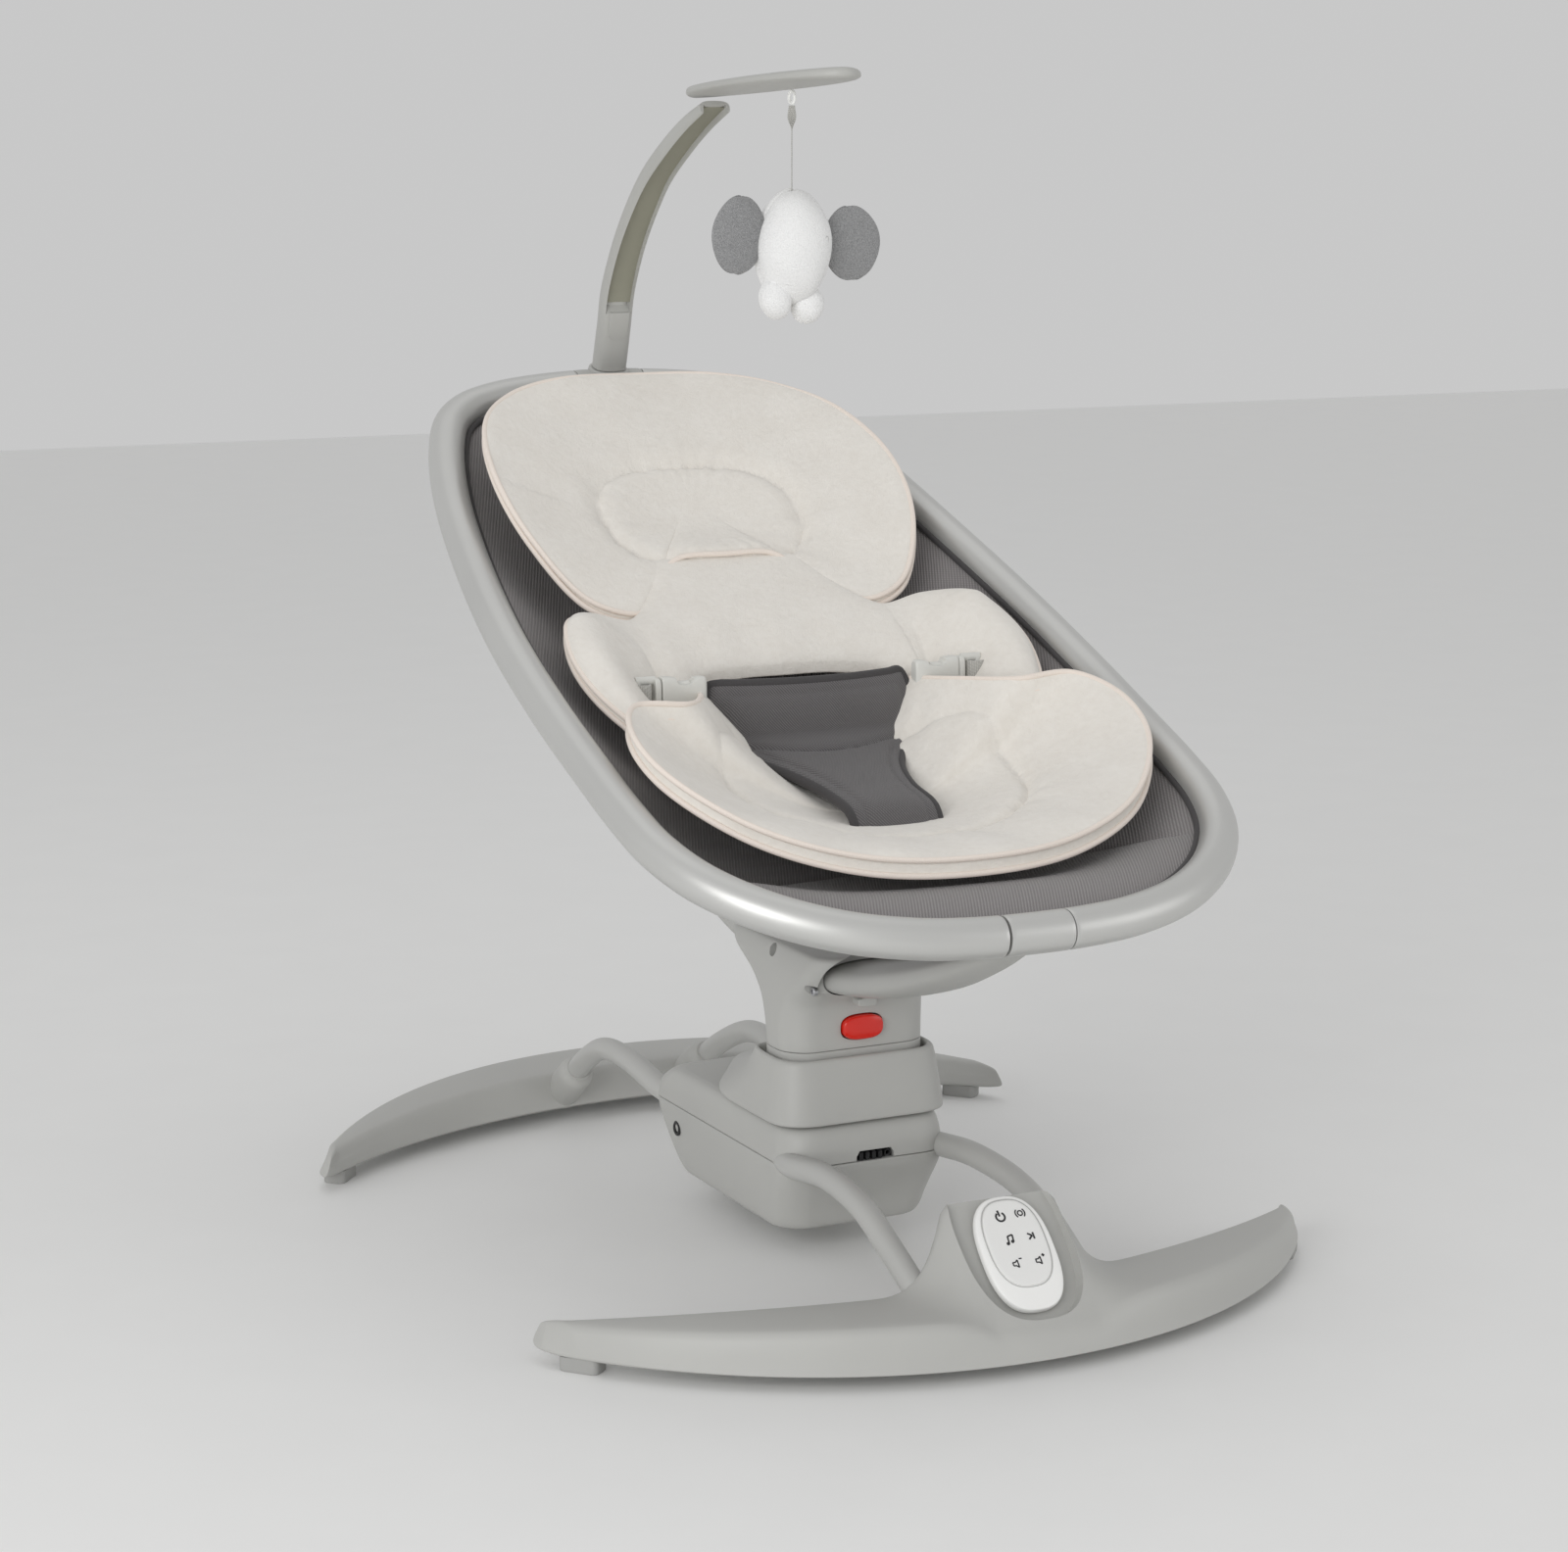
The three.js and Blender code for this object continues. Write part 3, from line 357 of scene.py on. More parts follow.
def panel_rings(levels, shift=0.0, power=2.6):
    """Rings of an oval plate from its half-width, half-length and height at each level."""
    ovals = [superellipse(a, b, power) for a, b, _ in levels]
    return np.array([on_panel(o[:, 0], o[:, 1] + shift, h[2]) for o, h in zip(ovals, levels)])


skin("rear_foot_shell", foot_rings(1), grey_moulding, "base", ["rear_foot"])
front_foot = skin("front_foot_shell", foot_rings(-1), grey_moulding, "base", ["front_foot"])
recess = skin("recess", panel_rings([(36.5, 54.5, -6.5), (37.5, 55.5, -3), (38, 56, 30)], 9), grey_moulding,
              "base")
cut_from(front_foot, recess)

# ---- Legs ----
# Four bent steel tubes, sprayed to match the mouldings. They leave the housing at its seam and drop
# into the feet, and the rear ones end in moulded collars that stand on the foot.
grey_paint = moulded("leg_paint", (190, 190, 187), (184, 184, 181), 0.36, 0.00002, 2200.0)


def curve_through(points, count, closed=False):
    """A centripetal Catmull-Rom curve through points, sampled at equal steps of its length."""
    p = np.asarray(points, float)
    if closed:
        p = np.vstack([p[-1:], p, p[:2]])
    else:
        p = np.vstack([2 * p[:1] - p[1:2], p, 2 * p[-1:] - p[-2:-1]])
    knots = np.concatenate([[0], np.cumsum(np.sqrt(np.linalg.norm(np.diff(p, axis=0), axis=1)))])
    t = np.linspace(knots[1], knots[-2], 60 * (len(p) - 3) + 1)
    i = np.clip(np.searchsorted(knots, t, "right") - 1, 1, len(p) - 3)
    k = [knots[i + j][:, None] for j in (-1, 0, 1, 2)]
    q = [p[i + j] for j in (-1, 0, 1, 2)]
    t = t[:, None]

    def between(a, b, ka, kb):
        """The straight blend of a and b, in proportion to how far t is from knot ka to knot kb."""
        return (a * (kb - t) + b * (t - ka)) / (kb - ka)

    first = [between(q[j], q[j + 1], k[j], k[j + 1]) for j in range(3)]
    second = [between(first[j], first[j + 1], k[j], k[j + 2]) for j in range(2)]
    line = between(second[0], second[1], k[1], k[2])
    run = np.concatenate([[0], np.cumsum(np.linalg.norm(np.diff(line, axis=0), axis=1))])
    even = np.linspace(0, run[-1], count, endpoint=not closed)
    return np.stack([np.interp(even, run, line[:, axis]) for axis in range(line.shape[1])], -1)


def directions(path, closed=False):
    """Unit tangents along a path, from the points before and after each one."""
    if closed:
        along = np.roll(path, -1, 0) - np.roll(path, 1, 0)
    else:
        along = np.gradient(path, axis=0)
    return along / np.linalg.norm(along, axis=-1, keepdims=True)


def tube_rings(path, radius, sides=32, closed=False, flatten=1.0):
    """Circles of the given radius square to a path. flatten is their height over their width."""
    along = directions(path, closed)
    across = np.cross(along, [0.02, 0.01, 1.0])
    across /= np.linalg.norm(across, axis=-1, keepdims=True)
    above = np.cross(across, along)
    angle = np.linspace(0, 2 * np.pi, sides, endpoint=False)
    wide = np.cos(angle)[None, :, None] * across[:, None]
    high = np.sin(angle)[None, :, None] * above[:, None] * flatten
    radius = np.broadcast_to(radius, len(path))[:, None, None]
    return path[:, None] + radius * (wide + high)


front_leg = [(50, -82, 68), (55, -106, 70), (54, -153, 75), (56, -205, 70), (57, -240, 57), (56, -292, 30)]
rear_leg = [(48, 84, 66), (52, 108, 70), (56, 150, 79), (57, 190, 78), (54, 232, 60), (50, 288, 22)]
collar = np.array([(52, 250, 48.5), (52, 252, 47), (50.5, 284, 24.5), (50, 290, 20)])
for side, side_name in ((-1, "left"), (1, "right")):
    mirror = np.array([side, 1, 1])
    for end_name, points in (("front", front_leg), ("rear", rear_leg)):
        node = f"{end_name}_{side_name}_leg"
        rings = tube_rings(curve_through(np.array(points) * mirror, 90), 8.0)
        skin(f"{node}_tube", rings, grey_paint, "base", [node], slot="leg_paint")
    line = curve_through(collar * mirror, 24)
    size = 13 * np.clip(1 - np.exp(-np.arange(24) / 1.2), 0, 1)
    skin(f"{side_name}_leg_collar", tube_rings(line, np.maximum(size, 9.2)), grey_moulding, "base")

# ---- Control panel ----
# A glossy white oval body with rounded edges, a thin membrane let into its upper part, and six dark
# printed marks: power, motion, music, next, quieter and louder.
white_gloss = moulded("white_plastic", (250, 250, 248), (247, 247, 245), 0.16, 0.00001, 600.0)
membrane_film = moulded("membrane_film", (240, 240, 238), (237, 237, 235), 0.42, 0.00003, 1800.0)
mark_ink = moulded("mark_ink", (44, 44, 46), (38, 38, 40), 0.5, 0.00001, 900.0)
body_levels = softened([(23.5, 37, -5.5), (25, 38.3, -5), (25, 38.3, -1.6), (23.8, 37.2, 0), (10, 20, 0.2)],
                       3)
skin("panel_body", panel_rings(body_levels), white_gloss, "base", ["control_panel"], slot="white_plastic")
film_levels = softened([(19.5, 28.5, -0.3), (19.6, 28.6, 0.7), (19.1, 28.1, 1.05), (8, 14, 1.1)], 2)
skin("panel_film", panel_rings(film_levels, 6), membrane_film, "base", ["panel_membrane"],
     slot="white_plastic")
groove_rim = superellipse(20.2, 29.2)
groove_path = on_panel(groove_rim[:, 0], groove_rim[:, 1] + 6, 0.15)


def closed_tube(name, path, radius, finish, body, sides=16, **kwargs):
    """A tube round a closed path."""
    rings = tube_rings(path, radius, sides, closed=True, flatten=kwargs.pop("flatten", 1.0))
    quads = net(len(rings) + 1, sides)
    faces = (np.array(quads) % (len(rings) * sides)).tolist()
    return mesh_piece(name, rings, faces, finish, body, **kwargs)


groove_shade = moulded("groove_shade", (196, 196, 194), (190, 190, 188), 0.6)
closed_tube("film_edge", groove_path, 0.35, groove_shade, "base", 8, slot="white_plastic")


def strokes(name, lines, width=0.55):
    """A printed mark as flat strokes, just proud of the film. Each line is a list of panel points."""
    points, faces = [], []
    for line in lines:
        line = np.array(line, float)
        along = directions(line)
        side = np.stack([-along[:, 1], along[:, 0]], -1) * width
        for height in (1.0, 1.28):
            for sign in (-1, 1):
                edge = line + sign * side
                points.append(on_panel(edge[:, 0], edge[:, 1], height))
        base, n = sum(len(p) for p in points[:-4]), len(line)
        grid = np.stack([base + k * n + np.arange(n) for k in (0, 1, 3, 2)], 1)
        round_about = (np.array(net(n, 4)))
        faces += grid.ravel()[round_about].tolist()
        faces += [grid[0][::-1].tolist(), grid[-1].tolist()]
    mesh_piece(name, np.vstack(points), faces, mark_ink, "base", slot="black_plastic")


def arc(centre, radius, start, stop, count=20):
    """Points at the centre plus radius times the cosine and sine of equal steps of angle."""
    angle = np.radians(np.linspace(start, stop, count))
    return np.stack([centre[0] + radius * np.cos(angle), centre[1] + radius * np.sin(angle)], -1)


strokes("power_mark", [arc((-5, 23.8), 2.9, 125, 415), [(-5.4, 24.2), (-5.7, 28.2)]], 0.6)
strokes("motion_mark", [arc((8.8, 24.4), 1.6, 0, 359), arc((8.8, 24.4), 3.2, 130, 230),
                        arc((8.8, 24.4), 3.2, -50, 50)], 0.4)
strokes("music_mark", [[(-5.6, 5.8), (-5.2, 10.6)], [(-5.2, 10.6), (-1.8, 11.4)], [(-1.8, 11.4), (-2.2, 6.8)],
                       arc((-6.3, 5.9), 0.6, 0, 359, 10), arc((-2.9, 6.9), 0.6, 0, 359, 10)], 0.5)
strokes("next_mark", [[(8.4, 10.6), (11.2, 8.9)], [(11.2, 8.9), (8.6, 6.6)], [(12.2, 10.9), (12.2, 6.6)]],
        0.55)
for name, x, louder in (("quieter_mark", -5.6, False), ("louder_mark", 10.1, True)):
    lines = [[(x - 2.4, -8.8), (x - 0.6, -8.8)], [(x - 2.4, -6.6), (x - 0.6, -6.6)],
             [(x - 2.4, -8.8), (x - 2.4, -6.6)],
             [(x - 0.6, -8.8), (x + 1, -10.2)], [(x - 0.6, -6.6), (x + 1, -5.2)],
             [(x + 1, -10.2), (x + 1, -5.2)],
             [(x + 2.4, -4.6), (x + 4.4, -4.6)]]
    strokes(name, lines + ([[(x + 3.4, -5.6), (x + 3.4, -3.6)]] if louder else []), 0.4)

# ---- Motor housing ----
# Two grey shells that meet at a fine seam. The lower tub's sides lean in to a small floor, a dark port
# recess sits in the lid's front edge, and the socket for the adapter is in the left side.
tub_rows = [(34, -66, 54, 20, 19), (50, -86, 72, 20, 19), (54, -91, 80, 21, 22), (57, -97, 94, 22, 38),
            (60, -110, 107, 22, 60), (60, -111, 109, 22, 66.6), (60, -111, 109, 22, 67.6),
            (59, -110, 108, 21, 67.9)]
lid_rows = [(59, -110, 108, 21, 68.3), (60, -111, 109, 22, 68.6), (60, -111, 108.5, 22, 69.6),
            (59.5, -110.5, 106, 22, 80), (58, -108, 94, 22, 88), (56, -105, 84, 20, 91.5),
            (52, -101, 78, 18, 93)]
skin("housing_tub", upright(tub_rows, times=2), grey_moulding, "base", ["housing_lower"])
lid = skin("housing_lid", upright(lid_rows, times=2), grey_moulding, "base", ["housing_upper"])


def port_outline(y):
    """The port's six-cornered outline at depth y: a level foot and a top with its corners cut."""
    x = 2.8 + 13.6 * np.array([-1.02, 1.02, 1, 0.84, -0.84, -1])
    z = np.array([67.9, 67.9, 71.6, 75, 75, 71.6])
    return np.stack([x, np.full(6, y), z], -1)


port_cut = skin("port_cut", np.array([port_outline(-118), port_outline(-104)]), grey_moulding, "base")
cut_from(lid, port_cut)


def box_rings(x0, x1, y0, y1, z0, z1, edge=0.4):
    """Rings of a bar that runs along Y, with its four long edges taken off."""
    x = np.array([x0 + edge, x1 - edge, x1, x1, x1 - edge, x0 + edge, x0, x0])
    z = np.array([z0, z0, z0 + edge, z1 - edge, z1, z1, z1 - edge, z0 + edge])
    return np.array([np.column_stack([x, np.full(8, y), z]) for y in (y0, y0 + 0.01, y1)])


black_moulding = moulded("black_plastic", (34, 34, 35), (26, 26, 28), 0.42)
skin("port_back", box_rings(-11, 16.6, -106, -103, 60.5, 75.4), black_moulding, "base", ["port_block"],
     slot="black_plastic")
for number, x in enumerate((-8.6, -4, 0.6, 5.2)):
    skin(f"port_rib_{number + 1}", box_rings(x, x + 2.8, -110.4, -105, 68.4, 73.6), black_moulding, "base",
         slot="black_plastic")


def turned(name, profile, start, direction, finish, body, nodes=(), sides=40, **kwargs):
    """A piece turned about an axis from its profile of distance along the axis and radius."""
    direction = np.array(direction, float) / np.linalg.norm(direction)
    across = np.cross(direction, [0.3, 0.2, 0.93])
    across /= np.linalg.norm(across)
    above = np.cross(direction, across)
    angle = np.linspace(0, 2 * np.pi, sides, endpoint=False)[:, None]
    spoke = np.cos(angle) * across + np.sin(angle) * above
    rings = [np.array(start) + direction * d + spoke * r for d, r in profile]
    return skin(name, rings, finish, body, nodes, **kwargs)


jack_profile = [(0, 0.3), (0, 1.2), (3.5, 1.4), (3.8, 2.2), (1.2, 2.3), (0.6, 2.6), (-2, 2.7), (-3, 0.5)]
turned("port_jack", jack_profile, (12.2, -106, 71.4), (0, -1, 0), black_moulding, "base",
       slot="black_plastic")
inlet_profile = [(-9, 0.4), (-9, 2.6), (-0.2, 2.9), (0.5, 3.2), (0.7, 4.4), (0.2, 5.2), (-8, 5.2), (-10, 0.4)]
turned("adapter_socket", inlet_profile, (-59.4, 63, 52), (-1, 0, 0), black_moulding, "base", ["power_inlet"],
       slot="black_plastic")

# ---- Swing cover and column ----
# A wedge-shaped grey cover rides on the swing arm over the housing. Its tail slopes to the rear, and
# the oval column stands up through a raised collar with a narrow dark gap round it.
cover_rows = [(57, -105, 70, 27, 80, 94.3), (61.5, -109, 75, 27, 80, 94.3), (62.5, -110, 76, 27, 80, 95.3),
              (62.3, -109.8, 72, 27, 78, 98), (61, -108, 34, 26, 62, 110), (59.5, -105.5, 0, 25, 46, 122),
              (58.2, -103.6, -30, 24, 22, 131.5), (57, -102.4, -39, 23, 14, 135.2),
              (55, -100.4, -42, 22, 11, 136.2),
              (53.6, -98.8, -43.4, 21, 10, 135.4), (53.2, -98.2, -43.8, 21, 10, 130)]


def tapered_plan(half, front, rear, ease, tail, steps=12):
    """A plan whose sides run straight, then narrow to the rear, with every corner eased by a parabola."""
    nose = half - tail * 0.68
    corners = np.array([(half, front), (half, rear - tail), (nose, rear), (-nose, rear), (-half, rear - tail),
                        (-half, front)])
    plan = []
    for k in range(6):
        corner = corners[k]
        ends = []
        for other in (corners[k - 1], corners[(k + 1) % 6]):
            run = other - corner
            length = np.linalg.norm(run)
            ends.append(corner + run * min(ease, 0.48 * length) / length)
        t = np.linspace(0, 1, steps)[:, None]
        plan.append(ends[0] * (1 - t) ** 2 + corner * 2 * t * (1 - t) + ends[1] * t**2)
    return np.vstack(plan)


cover_rings = []
for *plan_row, height in softened(cover_rows, 2):
    plan = tapered_plan(*plan_row)
    cover_rings.append(np.column_stack([plan, np.full(len(plan), height)]))
swing_cover = skin("swing_cover_shell", cover_rings, grey_moulding, "sway", ["swing_cover"])
well_rows = [(52.7, -97.2, -44.8, 20.4, 120), (52.7, -97.2, -44.8, 20.4, 150)]
cut_from(swing_cover, skin("well", upright(well_rows, times=0), grey_moulding, "sway"))
collar_rows = [(51.5, -96, -46, 20, 118), (51.5, -96, -46, 20, 139.2), (51.2, -95.7, -46.3, 19.8, 139.6)]
skin("post_collar_shell", upright(collar_rows, times=0), grey_moulding, "sway", ["post_collar"])

# ---- Seat hub ----
# The grey socket plugs down over the post. It flares to the rear under the seat, and its open mouth
# lets the curved spine slide through. Two screws hold its halves together on each side.
hub_rows = [(51.2, -95.7, -46.3, 19.8, 140), (51.5, -96, -46, 20, 140.4), (51.5, -96, -45, 20, 152),
            (51.5, -96.5, -42, 20, 163), (50.8, -98, -37, 20, 171), (50, -104, -29, 20, 178),
            (49.3, -111, -20, 20, 184),
            (48.6, -117, -7, 20, 190), (47.8, -122, 8, 20, 196), (46, -125, 15, 20, 203),
            (44, -124, 13, 19, 207),
            (40, -120, 9, 18, 208), (20, -90, -10, 10, 208)]
recline_y, recline_z, beam_radius = -63, 590, 403


def beam_rings(rows, grow=0.0, count=48, power=2.6):
    """Flat ovals along the spine: rows hold place along Y, half-width, half-thickness and drop."""
    rings = []
    for y, half_x, half_out, drop in rows:
        z = recline_z - np.sqrt((beam_radius + drop) ** 2 - (y - recline_y) ** 2)
        out = np.array([0, recline_y - y, recline_z - z])
        out /= np.linalg.norm(out)
        oval = superellipse(half_x + grow, half_out + grow, power, count)
        rings.append(np.array([0, y, z]) + oval[:, :1] * np.array([1.0, 0, 0]) + oval[:, 1:] * out)
    return np.array(rings)


hub = skin("hub_shell", upright(hub_rows, 12), grey_moulding, "hub", ["hub"])
working = [(y, 33, 11, 0) for y in np.linspace(-185, 85, 40)]
mouth = skin("mouth", beam_rings(working, 0.9), grey_moulding, "hub")
scoop = skin("scoop", beam_rings([(y, 33, 11, 0) for y in np.linspace(-185, -108, 12)], 7), grey_moulding,
             "hub")
button_oval = superellipse(15.2, 8.7, 2.8)


def facing(oval, y, x=0.0, z=154.0):
    """An oval stood upright: its first measure runs along X and its second along Z, at depth y."""
    return np.stack([x + oval[:, 0], np.full(len(oval), y), z + oval[:, 1]], -1)


button_well = skin("well", [facing(button_oval * s, y) for s, y in ((1.04, -99), (1, -95.2), (1, -88))],
                   grey_moulding, "hub")
steel = moulded("machined_steel", (196, 197, 199), (182, 183, 186), 0.3, 0.00002, 900.0, Metallic=1.0)
screw_profile = [(-1, 0.3), (-1, 1.1), (0, 1.3), (0, 2.4), (-0.5, 3.0), (-3, 3.1), (-4, 0.5)]
screw_wells = []
for side, side_name in ((-1, "left"), (1, "right")):
    for number, (y, z) in enumerate(((-60, 202), (-108, 184))):
        node = f"{side_name}_hub_screw_{number + 1}"
        turned(f"{node}_head", screw_profile, (side * 42, y, z), (side, 0, 0), steel, "hub", [node], 24,
               slot="steel")
        screw_wells.append(turned(f"{node}_well", [(0, 4.3), (30, 4.3)], (side * 39, y, z), (side, 0, 0),
                                  grey_moulding, "hub"))
cut_from(hub, mouth, scoop, button_well, *screw_wells)

# ---- Release button and recline latch ----
# A glossy red oval button, slightly crowned, springs in the hub's front. The grey latch above it
# frees the seat's recline.
red_gloss = moulded("red_plastic", (226, 34, 14), (216, 26, 10), 0.22, 0.00001, 500.0, Coat_Weight=0.25)
button_profile = [(1, -92), (1, -98.2), (0.985, -99), (0.94, -99.7), (0.8, -100.2), (0.45, -100.6),
                  (0.1, -100.7)]
button_face = superellipse(14.5, 8, 2.8)
skin("release_button_cap", [facing(button_face * s, y) for s, y in softened(button_profile, 2)], red_gloss,
     "release_button", ["release_button"], slot="red_plastic")
latch_face = superellipse(6.7, 2.9, 4)
skin("recline_latch_key", [facing(latch_face * s, y, -2, 173) for s, y in
                           ((1, -94), (1, -108), (0.9, -108.8), (0.3, -109))], grey_moulding,
     "recline_latch", ["recline_latch"])

# ---- Seat ring ----
# Two half loops of 25 mm steel tube in satin silver paint, pushed over a joiner at the foot end and
# one at the head end. The head joiner carries a round boss for the toy bar.
ring_paint = Finish("ring_paint", Metallic=0.55)
flakes = ring_paint.noise(2600.0, 2.0)
drift = ring_paint.noise(9.0, 2.0)
ring_paint.link("Base Color", ring_paint.mix(drift * 0.6 + flakes * 0.4, srgb(196, 196, 194),
                                             srgb(212, 212, 209)))
ring_paint.link("Roughness", flakes * 0.1 + drift * 0.06 + 0.3)
ring_paint.bump(flakes, 0.00002)

ring_plan = [(0, 309), (49, 306), (89, 299), (116, 289), (134, 274), (149, 246), (166, 194), (181, 119),
             (192, 33),
             (196, -49), (196, -115), (195, -164), (191, -202), (178, -237), (152, -269), (115, -294),
             (73, -308),
             (35, -313), (0, -314)]
ring_tube, foot_joiner_half, head_joiner_half = 12.5, 22, 26


def ring_height(y):
    """Height of the tube's centre: a plane that leans back and curls up a little at the head end."""
    run = (np.asarray(y, float) + 10.6) / 300
    return 383.4 + 0.4228 * run * 300 + 12.4 * run**2 + 7.1 * run**3


half_plan = np.array(ring_plan, float)
whole_plan = np.vstack([half_plan, half_plan[-2:0:-1] * [-1, 1]])
loop_steps = 720
ring_loop = curve_through(np.column_stack([whole_plan, ring_height(whole_plan[:, 1])]), loop_steps,
                          closed=True)
step_length = np.linalg.norm(ring_loop[1] - ring_loop[0])


def ring_stretch(start, stop, margin=0.0):
    """The ring's centreline between two distances from the head end, less a margin at both ends."""
    place = np.arange(start + margin, stop - margin + 0.01, step_length / 2) / step_length
    low = np.floor(place).astype(int)
    share = (place - low)[:, None]
    return ring_loop[low % loop_steps] * (1 - share) + ring_loop[(low + 1) % loop_steps] * share


loop_length = loop_steps * step_length
foot_middle = loop_length / 2


def eased_tube(name, path, radius, finish, body, nodes, **kwargs):
    """A tube with softly rounded ends."""
    edge = np.minimum(np.arange(len(path)), np.arange(len(path))[::-1])
    shrink = np.interp(edge, [0, 1], [0.965, 1.0])
    return skin(name, tube_rings(path, radius * shrink, 40), finish, body, nodes, **kwargs)


for side_name, start, stop in (("right", head_joiner_half, foot_middle - foot_joiner_half),
                               ("left", foot_middle + foot_joiner_half, loop_length - head_joiner_half)):
    eased_tube(f"{side_name}_ring", ring_stretch(start, stop, 0.25), ring_tube, ring_paint.material, "seat",
               [f"{side_name}_ring_tube"], slot="ring_paint")
eased_tube("foot_end_joiner", ring_stretch(foot_middle - foot_joiner_half, foot_middle + foot_joiner_half,
                                           0.25),
           ring_tube, ring_paint.material, "seat", ["foot_joiner"], slot="ring_paint")
eased_tube("head_end_joiner", ring_stretch(-head_joiner_half, head_joiner_half, 0.25), ring_tube,
           grey_moulding, "seat", ["head_joiner"])
arm_tilt = np.radians(17.5)
arm_axis = np.array([0, -np.sin(arm_tilt), np.cos(arm_tilt)])
head_end = ring_loop[0]
boss_profile = [(-8, 12), (0, 15), (11, 15), (13.2, 14.6), (14, 13.6), (14, 9.2), (10, 9)]
turned("toy_bar_boss", boss_profile, head_end, arm_axis, grey_moulding, "seat")

# ---- Spine beam ----
# A flat oval spine moulded in grey. Its lower run is an arc about the recline centre, so the seat
# tilts as it slides through the hub, and both ends bend up to the ring.
low_run = [(-300, 11, 5, 10), (-283, 13, 6, 8), (-262, 17, 7, 5.5), (-235, 22, 8.5, 2.5), (-205, 28, 10, 1),
           (-175, 33, 11, 0)]
low_run += [(y, 33, 11, 0) for y in np.linspace(-160, 75, 24)]
low_run += [(110, 29, 10.5, 1), (150, 25, 10, 3), (190, 21, 9, 4), (225, 18, 9, 4), (255, 16, 9, 4)]
head_run = np.array([(288, 392, 15, 52), (305, 440, 13, 68), (312, 485, 12, 82), (311, 515, 11, 92),
                     (309, 534, 11, 92)])
head_rings = []
for y, z, half_x, lean in softened(head_run, 2):
    out = np.array([0, -np.sin(np.radians(lean)), np.cos(np.radians(lean))])
    oval = superellipse(half_x, 8, 2.6, 48)
    head_rings.append(np.array([0, y, z]) + oval[:, :1] * np.array([1.0, 0, 0]) + oval[:, 1:] * out)
spine_rings = np.concatenate([softened(beam_rings(low_run), 1), np.array(head_rings)])
skin("spine", spine_rings, grey_moulding, "seat", ["spine_beam"])

# ---- Sling seat ----
# A padded cover in ribbed grey knit, stretched inside the ring. It is sewn from side, head and foot
# panels that swell between their seams, and a dark welt, part piping and part painted shadow, closes it against
# the tube.
knit = Finish("grey_knit", Sheen_Weight=0.25, Sheen_Roughness=0.5)
cloth = knit.add("ShaderNodeUVMap")
rib_pitch, stitch_pitch = 1.9, 1.3


def ribbed(finish, where, across, along, angle):
    """A twill: ribs at one pitch, broken by stitches at another, from 0 in the gaps to 1 on the yarn."""
    turned_place = finish.add("ShaderNodeMapping", inputs={"Vector": where, "Rotation": (0, 0, angle)})
    axes = {"Vector": turned_place}
    x = finish.add("ShaderNodeSeparateXYZ", inputs=axes, output=0)
    y = finish.add("ShaderNodeSeparateXYZ", inputs=axes, output=1)
    rib = finish.add("ShaderNodeMath", {"operation": "SINE"}, {0: x * (2 * np.pi / across)})
    stitch = finish.add("ShaderNodeMath", {"operation": "SINE"}, {0: (y + x * 0.5) * (2 * np.pi / along)})
    return (rib * 0.5 + 0.5) * (stitch * 0.3 + 0.7)


yarn = ribbed(knit, cloth, rib_pitch, stitch_pitch, np.radians(24))
patch = knit.noise(26.0, 4.0)
knit_dark = knit.mix(patch, srgb(116, 112, 112), srgb(124, 120, 120))
knit.link("Base Color", knit.mix(yarn, knit_dark, srgb(164, 160, 160)))
knit.link("Roughness", yarn * 0.1 + 0.82)
knit.bump(yarn, 0.0005)

dish_centre = np.array([0, -20.0])
dish_depth, rim_gap = 72, 0.8
tangent = directions(ring_loop, closed=True)
inwards = np.stack([-tangent[:, 1], tangent[:, 0]], -1)
inwards /= np.linalg.norm(inwards, axis=1, keepdims=True)
inwards *= np.sign(np.sum(inwards * (dish_centre - ring_loop[:, :2]), 1, keepdims=True))
rim_plan = (ring_loop[:, :2] + inwards * (ring_tube + rim_gap))[::2]
rim_turns = len(rim_plan)


def smoothstep(x, low, high):
    """0 below low and 1 above high, with an S-shaped rise between them."""
    t = np.clip((x - low) / (high - low), 0, 1)
    return t * t * (3 - 2 * t)


def dish_height(share, y):
    """The ring's height less a depth that shrinks with the cube of the share out to the rim."""
    depth = dish_depth * (0.35 + 0.65 * smoothstep(y, -300, -190))
    return ring_height(y) - 2 - depth * (1 - share**3)


def sling_swell(x, y, share):
    """How far the padding stands up: nothing on a seam or at the rim, and most between them."""
    foot_seam = -140 - 90 * (abs(x) / 165) ** 2
    head_seam = 238 - 0.0012 * x**2
    from_seam = np.minimum(abs(y - foot_seam), abs(y - head_seam) * 1.2)
    rounded = 1 - np.exp(-from_seam / 9)
    foot_puff = 8 * (y < foot_seam)
    return (7 + foot_puff) * rounded * (1 - share**10) + 1.2 * np.sin(y / 23 + x / 31) * rounded * (1 - share**4)


